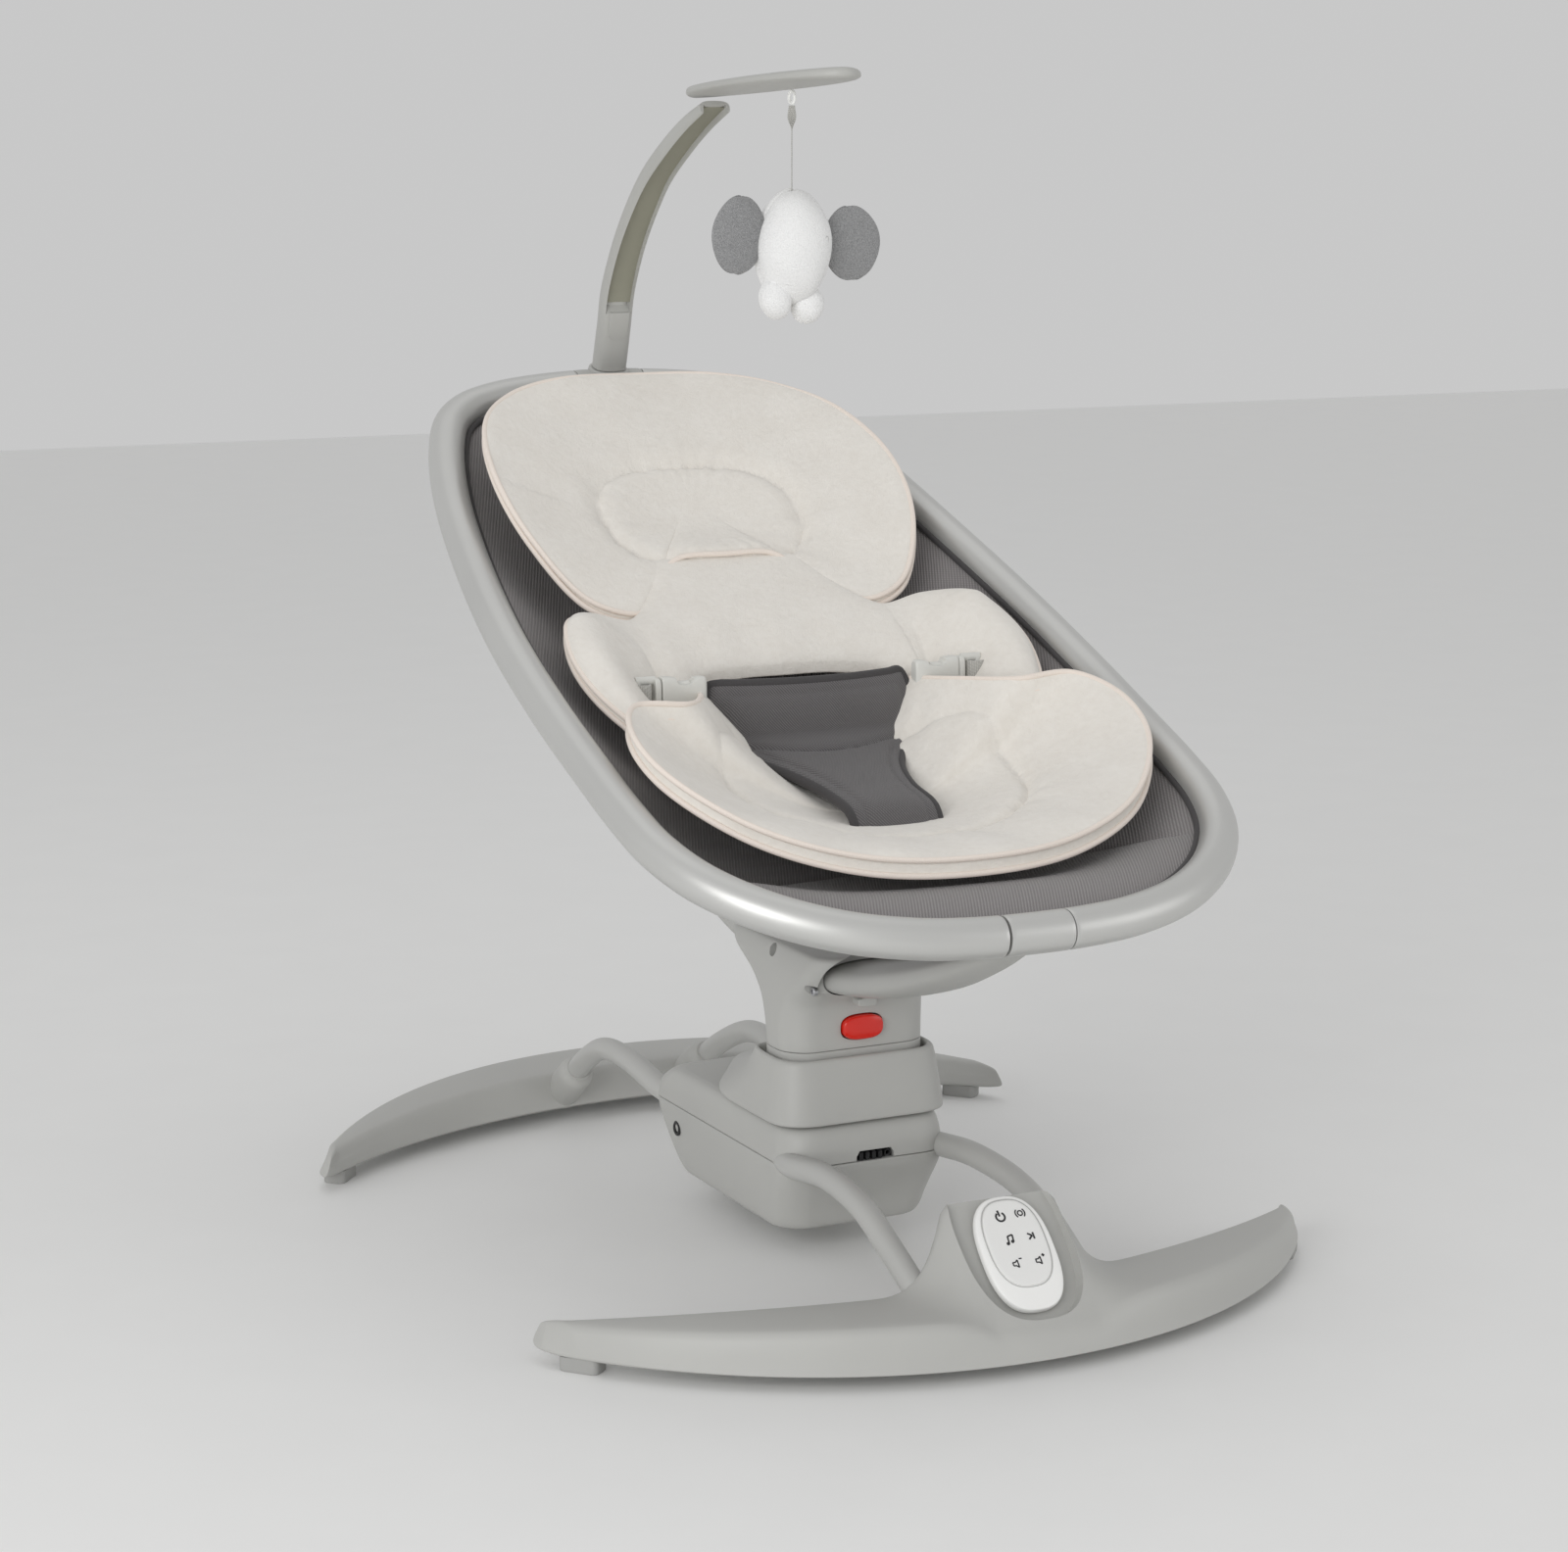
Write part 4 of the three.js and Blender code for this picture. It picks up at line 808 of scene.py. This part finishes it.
shares = 1 - (1 - np.linspace(0.02, 1, 84)) ** 1.25
share_grid = shares[:, None]
plan = dish_centre + (rim_plan[None] - dish_centre) * share_grid[..., None]
inner_face = dish_height(share_grid, plan[..., 1]) + sling_swell(plan[..., 0], plan[..., 1], share_grid)
outer_face = dish_height(share_grid, plan[..., 1]) - 5 - 3 * (1 - share_grid**6)
top_side = np.concatenate([plan, inner_face[..., None]], -1)
under_side = np.concatenate([plan, outer_face[..., None]], -1)[::-1]
sling_rings = np.concatenate([top_side, under_side])
around = np.linspace(0, loop_length, rim_turns, endpoint=False)
sling_uv = sling_rings[..., :2].reshape(-1, 2)
sling = skin("sling_cover", sling_rings, knit.material, "seat", ["seat_sling"], slot="grey_knit", sharp=60,
             uv=sling_uv)

# Dark cloth for the lap panel's real binding and for the sling's rim welt, whose darkness is partly piping and
# partly painted shadow where the cloth meets the tube.
dark_binding_and_rim_shadow = Finish("dark_binding_and_rim_shadow", Sheen_Weight=0.1)
binding_weave = dark_binding_and_rim_shadow.noise(1400.0, 2.0)
dark_binding_and_rim_shadow.link("Base Color", dark_binding_and_rim_shadow.mix(binding_weave, srgb(52, 50, 51), srgb(78, 76, 77)))
dark_binding_and_rim_shadow.link("Roughness", binding_weave * 0.1 + 0.8)
dark_binding_and_rim_shadow.bump(binding_weave, 0.0002)
# The dark tube along the sling's rim is partly piping and partly painted shadow of the gap against the ring
# tube.
welt_path = np.column_stack([rim_plan, dish_height(1.0, rim_plan[:, 1]) + 1.5])
closed_tube("sling_rim_welt_and_shadow", welt_path, 2.1, dark_binding_and_rim_shadow.material, "seat", 12, slot="grey_knit")

# ---- Plush cushions ----
# Three quilted cushions in cream short-pile plush: a horseshoe head pillow, a back cushion with two
# wings and a round seat cushion. Each is stuffed, sewn through along its inner seam and piped.
plush = Finish("cream_plush", Sheen_Weight=0.35, Sheen_Roughness=0.45)
pile = plush.noise(1500.0, 3.0)
tufts = plush.noise(210.0, 4.0)
nap = plush.noise(34.0, 3.0)
plush.link("Base Color", plush.mix(nap * 0.5 + tufts * 0.5, srgb(226, 220, 211), srgb(246, 243, 237)))
plush.link("Roughness", pile * 0.08 + 0.86)
plush.bump(pile * 0.35 + tufts * 0.65, 0.0011)
piping_cloth = Finish("piping_cloth", Sheen_Weight=0.2)
twist = piping_cloth.noise(1300.0, 2.0)
piping_cloth.link("Base Color", piping_cloth.mix(twist, srgb(231, 218, 207), srgb(246, 237, 228)))
piping_cloth.link("Roughness", twist * 0.1 + 0.78)
piping_cloth.bump(twist, 0.0002)
random = np.random.default_rng(7)


def both_sides(half):
    """A closed outline from its right half, which runs from the middle plane round to it again."""
    half = np.array(half, float)
    inner = half[half[:, 0] > 0][::-1].copy()
    inner[:, 0] *= -1
    return np.vstack([half, inner])


def ripple(place, waves, low, high):
    """A sum of sines with random phases, for puckers whose spacing isn't even."""
    total = 0
    for _ in range(waves):
        total = total + np.sin(place * random.uniform(low, high) + random.uniform(0, 2 * np.pi))
    return total / waves


def crease(distance, width, depth):
    """A sewn valley: deepest on the seam, with a narrow bottom and soft shoulders."""
    return -depth * (0.55 * np.exp(-abs(distance) / width) + 0.45 * np.exp(-((distance / (3 * width)) ** 2)))


def cushion(name, node, rim, middle, hollow, gusset, seam):
    """A stuffed piece from its rim: the top runs from the hollow's height out to the rim's own height."""
    turns, steps, puff = len(rim), 90, 5
    share = np.sin(np.linspace(0.012, 1, steps) * np.pi / 2)[:, None]
    place = middle + (rim[None, :, :2] - middle) * share[..., None]
    x, y = place[..., 0], place[..., 1]
    angle = np.broadcast_to(np.linspace(0, 2 * np.pi, turns, endpoint=False)[None], x.shape)
    weight = share**2.4
    level = ring_height(y) + (hollow(x, y) - puff) * (1 - weight) + rim[None, :, 2] * weight
    dome = np.sqrt(np.clip(1 - share**6, 0, 1))
    top = level + puff * dome + seam(x, y, share, angle) * np.clip(dome * 2, 0, 1)
    under = level - gusset - 4 * dome
    faces = [np.concatenate([place, top[..., None]], -1), np.concatenate([place, under[..., None]], -1)[::-1]]
    made = skin(name, np.concatenate(faces), plush.material, "seat", [node], slot="cream_plush", sharp=70)
    outward = rim[:, :2] - middle
    outward /= np.linalg.norm(outward, axis=1, keepdims=True)
    edge = ring_height(rim[:, 1]) + rim[:, 2]
    for label, drop, radius in (("top", 0.3, 1.9), ("under", gusset, 2.0)):
        path = np.column_stack([rim[:, :2] + outward * 0.6, edge - drop])
        closed_tube(f"{name}_{label}_piping", path, radius, piping_cloth.material, "seat", 12,
                    slot="cream_plush")
    return made


pillow_rim = curve_through(both_sides([
    (0, 108, 4), (34, 108, 3), (48, 104, -3), (62, 86, -8), (84, 66, -8), (118, 73, 0), (144, 107, 24),
    (150, 153, 40), (135, 205, 44), (103, 238, 42), (60, 256, 40), (0, 263, 37)]), 420, closed=True)


def pillow_hollow(x, y):
    """A step up from y 110 to 230 less a bell-shaped dip round the middle of the head."""
    return 4 + 24 * smoothstep(y, 110, 230) - 8 * np.exp(-((x / 60) ** 2) - ((y - 150) / 34) ** 2)


def pillow_seam(x, y, share, angle):
    """A crease along a superellipse, puckers that die off from it and long folds outside it."""
    oval = (abs(x / 74) ** 2.4 + abs((y - 148) / 42) ** 2.4) ** (1 / 2.4)
    away = (oval - 1) * 44
    turn = np.arctan2(y - 148, x)
    puckers = ripple(turn, 5, 14, 34) * np.exp(-abs(away) / 12) * 1.3
    long_folds = ripple(turn, 3, 5, 11) * smoothstep(away, 2, 26) * 1.5
    return crease(away, 1.7, 7) + puckers + long_folds


cushion("head_pillow_plush", "head_pillow", pillow_rim, np.array([0, 172.0]), pillow_hollow, 6, pillow_seam)

seat_rim = curve_through(both_sides([
    (0, 8, -34), (40, 8, -32), (70, -8, -20), (92, -50, 2), (117, -86, 20), (156, -92, 25), (173, -126, 28),
    (169, -166, 25), (132, -213, 16), (74, -240, 9), (0, -250, 8)]), 420, closed=True)


def seat_hollow(x, y):
    """A height drawn straight between stations along y, raised 6 mm by a smooth step sideways."""
    middle = np.interp(y, [-250, -200, -150, -120, -74, -44, -20, 12],
                       [-2, -18, -32, -42, -53, -60, -58, -46])
    return middle + 6 * smoothstep(abs(x), 30, 80)


def seat_seam(x, y, share, angle):
    """A crease along a superellipse, puckers that die off from it and long folds outside it."""
    oval = (abs(x / 100) ** 2.3 + abs((y + 112) / 76) ** 2.3) ** (1 / 2.3)
    away = (oval - 1) * 80
    turn = np.arctan2(y + 112, x)
    puckers = ripple(turn, 5, 18, 40) * np.exp(-abs(away - 6) / 12) * 1.3
    long_folds = ripple(turn, 3, 9, 16) * smoothstep(away, 0, 18) * 1.2
    return crease(away, 1.8, 6) + puckers + long_folds


cushion("seat_cushion_plush", "seat_cushion", seat_rim, np.array([0, -112.0]), seat_hollow, 10, seat_seam)

wing_outer = curve_through([(-128, -88), (-150, -64), (-163, -20), (-155, 20), (-126, 57), (-92, 62),
                            (-68, 92),
                            (-50, 138), (0, 142), (50, 138), (68, 92), (92, 62), (126, 57), (155, 20),
                            (163, -20),
                            (150, -64), (128, -88)], 420)
wing_inner = curve_through([(-116, -86), (-100, -64), (-86, -30), (-70, 6), (-40, 14), (0, 15), (40, 14),
                            (70, 6),
                            (86, -30), (100, -64), (116, -86)], 420)


def back_rings():
    """The back cushion runs as a horseshoe from one wing tip to the other, ruled from edge to edge."""
    share = (0.5 - 0.5 * np.cos(np.linspace(0, np.pi, 90)))[:, None]
    place = wing_inner[None] * (1 - share[..., None]) + wing_outer[None] * share[..., None]
    x, y = place[..., 0], place[..., 1]
    wing = smoothstep(abs(x), 90, 150)
    tip = np.interp(y, [-88, -62, -20, 20, 57], [-4, 6, 13, 18, 6])
    middle = np.interp(y, [-88, -30, 14, 60, 108, 142], [-44, -36, -22, -16, -12, -26])
    strap_dip = 10 * np.exp(-(((abs(x) - 104) / 26) ** 2) - ((y + 26) / 16) ** 2)
    base = ring_height(y) + middle * (1 - wing) + (tip - 8) * wing - strap_dip
    run = np.linspace(0, 1, 420)[None]
    dome = np.sqrt(np.clip(1 - abs(2 * share - 1) ** 3.2, 0,
                           1)) * np.sqrt(np.clip(1 - abs(2 * run - 1) ** 40, 0, 1))
    seam = crease(abs(x) - 98 - 0.10 * (y + 10), 2.0, 6) * smoothstep(-y, -40, 10)
    puckers = ripple(x * 0.11, 4, 0.7, 1.5) * smoothstep(70 - y, 0, 50) * (abs(x) < 92) * 1.8
    wing_folds = ripple(run * 60, 4, 0.6, 1.6) * smoothstep(abs(x), 90, 110) * 1.2
    top = base + 3 + 11 * dome + (seam + puckers + wing_folds) * dome
    under = base - 3 - 8 * dome
    faces = [np.concatenate([place, top[..., None]], -1), np.concatenate([place, under[..., None]], -1)[::-1]]
    return np.concatenate(faces).transpose(1, 0, 2), base[-1]


back_form, back_edge = back_rings()
back = skin("back_cushion_plush", back_form, plush.material, "seat", ["back_cushion"], slot="cream_plush",
            sharp=70)
for label, rise, radius in (("top", 3.0, 1.9), ("under", -3.0, 2.0)):
    skin(f"back_cushion_{label}_piping", tube_rings(np.column_stack([wing_outer, back_edge + rise]), radius,
                                                    12),
         piping_cloth.material, "seat", slot="cream_plush")

# ---- Lap panel ----
# The T-shaped lap panel is padded grey twill with a bound and stitched edge. It stands across the
# baby's waist and narrows to a crotch strap that is sewn into the seat.
twill = Finish("dark_knit", Sheen_Weight=0.2, Sheen_Roughness=0.5)
weave = ribbed(twill, twill.add("ShaderNodeUVMap"), 1.5, 1.1, np.radians(38))
worn = twill.noise(30.0, 3.0)
twill.link("Base Color", twill.mix(weave, twill.mix(worn, srgb(74, 72, 73), srgb(82, 80, 81)),
                                   srgb(126, 123, 124)))
twill.link("Roughness", weave * 0.1 + 0.8)
twill.bump(weave, 0.0004)
panel_rows = [(71, -14, 371), (74, -20, 354), (71, -26, 336), (58, -44, 326), (40, -74, 318), (31, -106, 311),
              (30, -138, 303), (30, -146, 292)]
panel_line = curve_through(panel_rows, 90)
side_share = np.linspace(-1, 1, 61)
bow = np.interp(np.arange(90) / 89, np.linspace(0, 1, 8), np.clip(1 - np.arange(8) / 4, 0, 1))


def lap_face(sign):
    """One face of the panel: bowed forwards, swollen off its edges and pinched along the inner seam."""
    half, y, z = (panel_line[:, k][:, None] for k in range(3))
    run = directions(panel_line[:, 1:])
    share = side_share[None]
    edge = np.minimum(half * (1 - abs(share)), (np.arange(90)[:, None] * 2.0))
    swell = 1.6 + 4.6 * (1 - np.exp(-edge / 8)) + crease(edge - 8.5, 1.0, 1.6)
    flap = np.arange(90)[:, None] - (33 - 9 * share**2)
    swell = swell + crease(flap * 2.0, 1.4, 3.2)
    offset = sign * swell
    x = half * share
    along_y = y - 16 * (1 - share**2) * bow[:, None] + run[:, 1][:, None] * offset
    along_z = z - run[:, 0][:, None] * offset
    return np.stack(np.broadcast_arrays(x, along_y, along_z), -1)


front_face, rear_face = lap_face(1), lap_face(-1)
lap_rings = np.concatenate([front_face, rear_face[:, ::-1]], 1)
arc_length = np.concatenate([[0], np.cumsum(np.linalg.norm(np.diff(panel_line[:, 1:], axis=0), axis=1))])
lap_across = np.concatenate([lap_rings[..., 0].reshape(-1)])
lap_uv = np.column_stack([lap_across, np.repeat(arc_length, lap_rings.shape[1])])
lap = skin("lap_panel_pad", lap_rings, twill.material, "seat", ["lap_panel"], slot="dark_knit", sharp=70,
           uv=lap_uv)
middle_face = (front_face + rear_face) / 2
bind_path = np.concatenate([middle_face[::-1, 0], middle_face[0, 1:-1], middle_face[:, -1]])
bind_path = curve_through(bind_path[::4], 240)
skin("lap_panel_binding", tube_rings(bind_path, 2.9, 14, flatten=1.15), dark_binding_and_rim_shadow.material, "seat",
     slot="dark_knit")

# ---- Harness buckles and webbing ----
# Side-release buckles in pale satin plastic. The socket is waisted, with side windows for the prongs,
# and the clip's bar carries a loop of ribbed webbing that runs back into the wing.
buckle_plastic = moulded("buckle_plastic", (222, 222, 217), (214, 214, 209), 0.38)
buckle_y, buckle_z = -22, 364
socket_rows = [(76.5, 13.2, 3.4), (78, 14.6, 4.6), (83, 14.4, 5.4), (87, 12.6, 5.6), (92, 12.4, 5.7),
               (97, 14.4, 5.8), (101, 15.6, 5.8), (107, 15.8, 5.8), (108.2, 15.2, 5.2)]
clip_rows = [(109, 14.2, 4.6), (109.8, 15.2, 5.2), (112.4, 15.2, 5.2), (113, 14.6, 4.8)]


def plate_rings(rows, side, power=5.0):
    """Rings of a flat plate along X from its place, half-height and half-thickness at each row."""
    rings = []
    for x, half_z, half_y in softened(rows, 2):
        oval = superellipse(half_y, half_z, power, 56)
        rings.append(np.stack([np.full(56, side * x), buckle_y + oval[:, 0], buckle_z + oval[:, 1]], -1))
    return np.array(rings)


def bar(name, start, stop, radius, side, body, flatten=1.0):
    """A round bar: circles of one radius along the straight line from start to stop."""
    path = np.linspace(start, stop, 12) * [side, 1, 1]
    skin(name, tube_rings(path, radius, 20, flatten=flatten), buckle_plastic, body, slot="buckle_plastic")


tape = Finish("webbing", Sheen_Weight=0.15)
tape_weave = ribbed(tape, tape.add("ShaderNodeUVMap"), 1.1, 2.2, 0.0)
tape.link("Base Color", tape.mix(tape_weave, srgb(176, 175, 170), srgb(226, 225, 220)))
tape.link("Roughness", tape_weave * 0.1 + 0.75)
tape.bump(tape_weave, 0.0004)
loop_route = np.array([(116, -20.5), (116, -24), (117.5, -27.6), (122, -29), (127, -27.6), (129.5, -23.5),
                       (128.5, -18.5),
                       (131, -14), (134, -12), (137, -12)])
tape_half, tape_thick = 12.2, 1.3


def tape_rings(route, side):
    """A flat tape on edge: its section is a thin rounded bar, carried along a level route."""
    line = curve_through(route, 70)
    along = directions(line)
    normal = np.stack([-along[:, 1], along[:, 0]], -1)
    oval = superellipse(tape_thick / 2, tape_half, 6, 40)
    level = line[:, None] + normal[:, None] * oval[None, :, :1]
    height = np.broadcast_to(buckle_z + oval[None, :, 1], level.shape[:2])
    run = np.concatenate([[0], np.cumsum(np.linalg.norm(np.diff(line, axis=0), axis=1))])
    uv = np.column_stack([np.repeat(run, 40), np.tile(oval[:, 1], 70)])
    return np.stack([side * level[..., 0], level[..., 1], height], -1), uv


for side, side_name in ((-1, "left"), (1, "right")):
    body = f"{side_name}_buckle"
    socket = skin(f"{side_name}_socket", plate_rings(socket_rows, side), buckle_plastic, "seat",
                  [f"{side_name}_buckle_socket"], slot="buckle_plastic")
    windows = []
    for end in (-1, 1):
        window = superellipse(6.5, 3.4, 2.4, 32)
        window = np.stack([side * (92 + window[:, 0]), np.full(32, 0.0),
                           buckle_z + end * 13.4 + window[:, 1]], -1)
        rings = np.stack([window + [0, buckle_y - 9, 0], window + [0, buckle_y + 9, 0]])
        windows.append(skin(f"window_{end}", rings, buckle_plastic, "seat"))
    cut_from(socket, *windows)
    skin(f"{side_name}_clip", plate_rings(clip_rows, side), buckle_plastic, body,
         [f"{side_name}_buckle_clip"],
         slot="buckle_plastic")
    for end, word in ((-1, "lower"), (1, "upper")):
        rail_z, prong_z = buckle_z + end * 13.8, buckle_z + end * 8.6
        bar(f"{side_name}_clip_{word}_rail", (112, buckle_y, rail_z), (126, buckle_y - 0.5, rail_z), 2.2,
            side, body, 1.3)
        bar(f"{side_name}_clip_{word}_prong", (88, buckle_y, prong_z + end * 1.6), (111, buckle_y, prong_z),
            2.3, side, body)
    bar(f"{side_name}_clip_bar", (124.4, buckle_y - 1, buckle_z - 14), (124.4, buckle_y - 1, buckle_z + 14),
        2.4, side, body)
    rings, uv = tape_rings(loop_route, side)
    skin(f"{side_name}_strap", rings, tape.material, body, [f"{side_name}_webbing"], slot="webbing", uv=uv)

# ---- Toy bar ----
# A grey arm that plugs into the ring's head boss and curves over the baby, hollowed by a channel on
# its inner side, with a thumb latch at its foot and a leaf-shaped plate on top.
arm_grey = moulded("arm_grey", (186, 186, 182), (180, 180, 176), 0.45)
# A darker, warmer grey for the floor of the arm's channel: painted shade in the hollow.
painted_channel_shade = moulded("painted_channel_shade", (152, 151, 136), (144, 143, 128), 0.6)
straight = [(14.6, 12, 9), (30, 12, 9), (48, 12, 8.5)]
curved = [(288.5, 608.5, 12, 8.5), (276, 631, 11.8, 8), (261.5, 651, 11.6, 8), (241, 673, 11.4, 8),
          (218.5, 692.5, 11, 8), (180, 715, 11, 7.5), (150, 729, 11, 6.5), (122, 739, 11, 5)]
arm_rows = [(*(head_end + arm_axis * d)[1:], a, b) for d, a, b in straight] + curved
arm_line = curve_through(arm_rows, 110)
arm_along = directions(arm_line[:, :2])
arm_in = np.column_stack([np.zeros(110), -arm_along[:, 1], arm_along[:, 0]])
arm_centre = np.column_stack([np.zeros(110), arm_line[:, :2]])


def arm_shell(shrink, low, high, depth):
    """The arm's section with its inner face pushed in between two places along it."""
    rings = []
    for k in range(low, high):
        oval = superellipse(arm_line[k, 2] - shrink, arm_line[k, 3], 3, 72)
        a, b = oval[:, 0], oval[:, 1]
        wall = smoothstep(arm_line[k, 2] - 2.0 - abs(a), 0, 0.6)
        mouth_start = smoothstep(k, 17, 19)
        push = np.where(b > 0, wall * mouth_start * depth, 0)
        rings.append(arm_centre[k] + a[:, None] * np.array([1.0, 0, 0]) + (b - push)[:, None] * arm_in[k])
    return np.array(rings)


skin("toy_arm", arm_shell(0, 0, 110, 6.5), arm_grey, "toy_bar", ["toy_bar"], sharp=28)
turned("toy_arm_plug", [(-8, 5), (-5, 7.9), (14.4, 7.9), (16, 7)], head_end, arm_axis, arm_grey, "toy_bar")
# A thin sheet in that darker grey lies on the channel floor and paints the shade inside the hollow.
channel_shade_sheet = []
for k in range(20, 109):
    half = arm_line[k, 2] - 2.4
    across = np.linspace(-half, half, 14)
    level = arm_line[k, 3] - 6.2 + 0.35 * (across / half) ** 2
    upper = arm_centre[k] + across[:, None] * np.array([1.0, 0, 0]) + level[:, None] * arm_in[k]
    channel_shade_sheet.append(np.vstack([upper, (upper - 0.5 * arm_in[k])[::-1]]))
skin("toy_arm_channel_shade", channel_shade_sheet, painted_channel_shade, "toy_bar")

key_outline = np.vstack([np.stack([7.5 * np.cos(t := np.linspace(np.pi, 2 * np.pi, 30)),
                                   44 + 7.5 * np.sin(t)], -1),
                         [(7.5, 59), (-7.5, 59)]])


def on_arm(outline, depth):
    """Points on the arm's inner face, from across and along it, at a depth towards the baby."""
    inner = np.array([0, -arm_axis[2], arm_axis[1]])
    return head_end + outline[:, :1] * np.array([1.0, 0, 0]) + outline[:, 1:] * arm_axis + depth * inner


key_middle = np.array([0, 50])
key_rings = [on_arm(key_middle + (key_outline - key_middle) * s, d) for s, d in
             ((1, 5.6), (1, 8.2), (0.96, 8.7), (0.85, 8.9), (0.1, 9.0))]
skin("toy_bar_latch", key_rings, arm_grey, "bar_latch", ["bar_latch"])
leaf_rows = softened([(0.3, -1), (0.8, -0.95), (1, -0.5), (1.01, 0), (0.97, 0.5), (0.8, 0.85), (0.4, 1),
                      (0.02, 1.02)], 2)
leaf_turn = np.linspace(0, 2 * np.pi, 120, endpoint=False)
leaf_rings = []
for share, level in leaf_rows:
    along = np.cos(leaf_turn)
    y = 42 + 114 * along * (0.9 + 0.1 * share) * np.where(share < 0.5, share * 2, 1)
    x = 30 * np.sin(leaf_turn) * (1 - 0.18 * along) * share
    leaf_rings.append(np.stack([x, y, 754.6 - 0.045 * (y - 42) + level * 4], -1))
skin("toy_bar_leaf", leaf_rings, arm_grey, "toy_bar", ["bar_plate"], sharp=40)

# ---- Hanging toy ----
# A small plush elephant: white body and feet, round grey ears and a stitched eye. It hangs by a
# narrow twisted ribbon from a ring under the leaf.
white_plush = Finish("white_plush", Sheen_Weight=0.4)
fluff = white_plush.noise(900.0, 4.0)
white_plush.link("Base Color", white_plush.mix(fluff, srgb(238, 238, 238), srgb(254, 254, 253)))
white_plush.link("Roughness", fluff * 0.08 + 0.86)
white_plush.bump(fluff, 0.0009)
grey_plush = Finish("grey_plush", Sheen_Weight=0.4)
fleck = grey_plush.noise(1100.0, 4.0)
grey_plush.link("Base Color", grey_plush.mix(fleck, srgb(96, 97, 98), srgb(186, 186, 187)))
grey_plush.link("Roughness", fleck * 0.08 + 0.86)
grey_plush.bump(fleck, 0.0012)


def stuffed(name, centre, radii, finish, node=(), lean=0.0, flat=2.0, slot="white_plush"):
    """A stuffed form: an ellipsoid with a seam round its middle and slight lumps."""
    v, u = np.meshgrid(np.linspace(0.02, np.pi - 0.02, 60), np.linspace(0, 2 * np.pi, 80, endpoint=False),
                       indexing="ij")
    lumps = 1 + 0.014 * np.sin(3 * u + 2 * v) + 0.012 * np.sin(5 * v - 2 * u)
    ball = np.stack([np.sin(v) * np.cos(u), np.sin(v) * np.sin(u), np.cos(v)], -1)
    ball = np.sign(ball) * abs(ball) ** (2 / flat) * lumps[..., None]
    ball *= 1 - 0.045 * np.exp(-((ball[..., 1:2] / 0.05) ** 2))
    ball = ball * radii
    x = ball[..., 0] * np.cos(lean) + ball[..., 2] * np.sin(lean)
    z = ball[..., 2] * np.cos(lean) - ball[..., 0] * np.sin(lean)
    rings = np.stack([x, ball[..., 1], z], -1) + centre
    made = skin(name, rings, finish, "toy", node, slot=slot, sharp=80)
    return made


stuffed("elephant_body", (0, 6, 650), (25, 27, 37), white_plush.material, ["toy_body"], 0.06)
stuffed("elephant_left_foot", (-14, 2, 617), (10.5, 11.5, 13.5), white_plush.material, lean=-0.2)
stuffed("elephant_right_foot", (10, 4, 613), (11, 12, 12.5), white_plush.material, lean=0.15)
stuffed("elephant_left_ear", (-37, 8, 658), (19, 5.5, 25), grey_plush.material, ["toy_left_ear"], 0.1,
        slot="grey_plush")
stuffed("elephant_right_ear", (42, 4, 652), (21, 5.5, 24), grey_plush.material, ["toy_right_ear"], -0.1,
        slot="grey_plush")
eye_angle = np.linspace(0, 2 * np.pi, 24, endpoint=False)
eye_path = np.array([14.5, -15.6, 655]) + np.stack([1.5 * np.cos(eye_angle), 0.9 * np.cos(eye_angle),
                                                    2.2 * np.sin(eye_angle)], -1)
closed_tube("elephant_eye", eye_path, 0.35, groove_shade, "toy", 8, slot="grey_plush")

ribbon_run = np.linspace(0, 1, 60)
twisting = 1.1 * smoothstep(ribbon_run, 0.05, 0.3)
ribbon_half = 2.2 + 2.8 * smoothstep(ribbon_run, 0.0, 0.25)
across_ribbon = np.stack([np.cos(twisting), np.sin(twisting), np.zeros(60)], -1)
ribbon_normal = np.stack([-np.sin(twisting), np.cos(twisting), np.zeros(60)], -1)
ribbon_line = np.column_stack([np.zeros(60), np.full(60, 6.0), 740.0 - 54.0 * ribbon_run])
ribbon_oval = superellipse(1.0, 0.35, 4, 24)
ribbon_rings = (ribbon_line[:, None] + across_ribbon[:,
                                                     None] * (ribbon_oval[None, :, :1] * ribbon_half[:,
                                                                                                     None,
                                                                                                     None])
                + ribbon_normal[:, None] * ribbon_oval[None, :, 1:])
ribbon_uv = np.column_stack([np.repeat(ribbon_run * 54, 24), np.tile(ribbon_oval[:, 0] * 5, 60)])
ribbon = skin("toy_hanging_ribbon", ribbon_rings, tape.material, "toy", ["toy_ribbon"], slot="webbing",
              uv=ribbon_uv)

# ---- Working parts inside ----
# Bearings, spindle, magnet arm, coil, board, speaker and clamps keep their own shapes. They are bare
# steel, copper winding, green board and black plastic.
copper = moulded("copper", (196, 122, 60), (170, 96, 44), 0.35, 0.0002, 500.0, Metallic=0.9)
board = moulded("board", (30, 92, 58), (24, 80, 50), 0.45, 0.00005, 900.0)
node_finish = {
    "steel": steel, "copper": copper, "board": board, "black_plastic": black_moulding,
    "grey_moulding": grey_moulding, "white_plastic": white_gloss,
}
slot_of = {row["node"]: row["material_slot"] for row in frame["record"]["subparts"]}
for node, made in frame["nodes"].items():
    if not made.hide_render:
        made.data.materials.clear()
        made.data.materials.append(node_finish[slot_of[node]])

floor_paint = moulded("floor_paint", (244, 244, 243), (241, 241, 240), 0.6, 0.0, 50.0)
floor_mesh.materials.append(floor_paint)
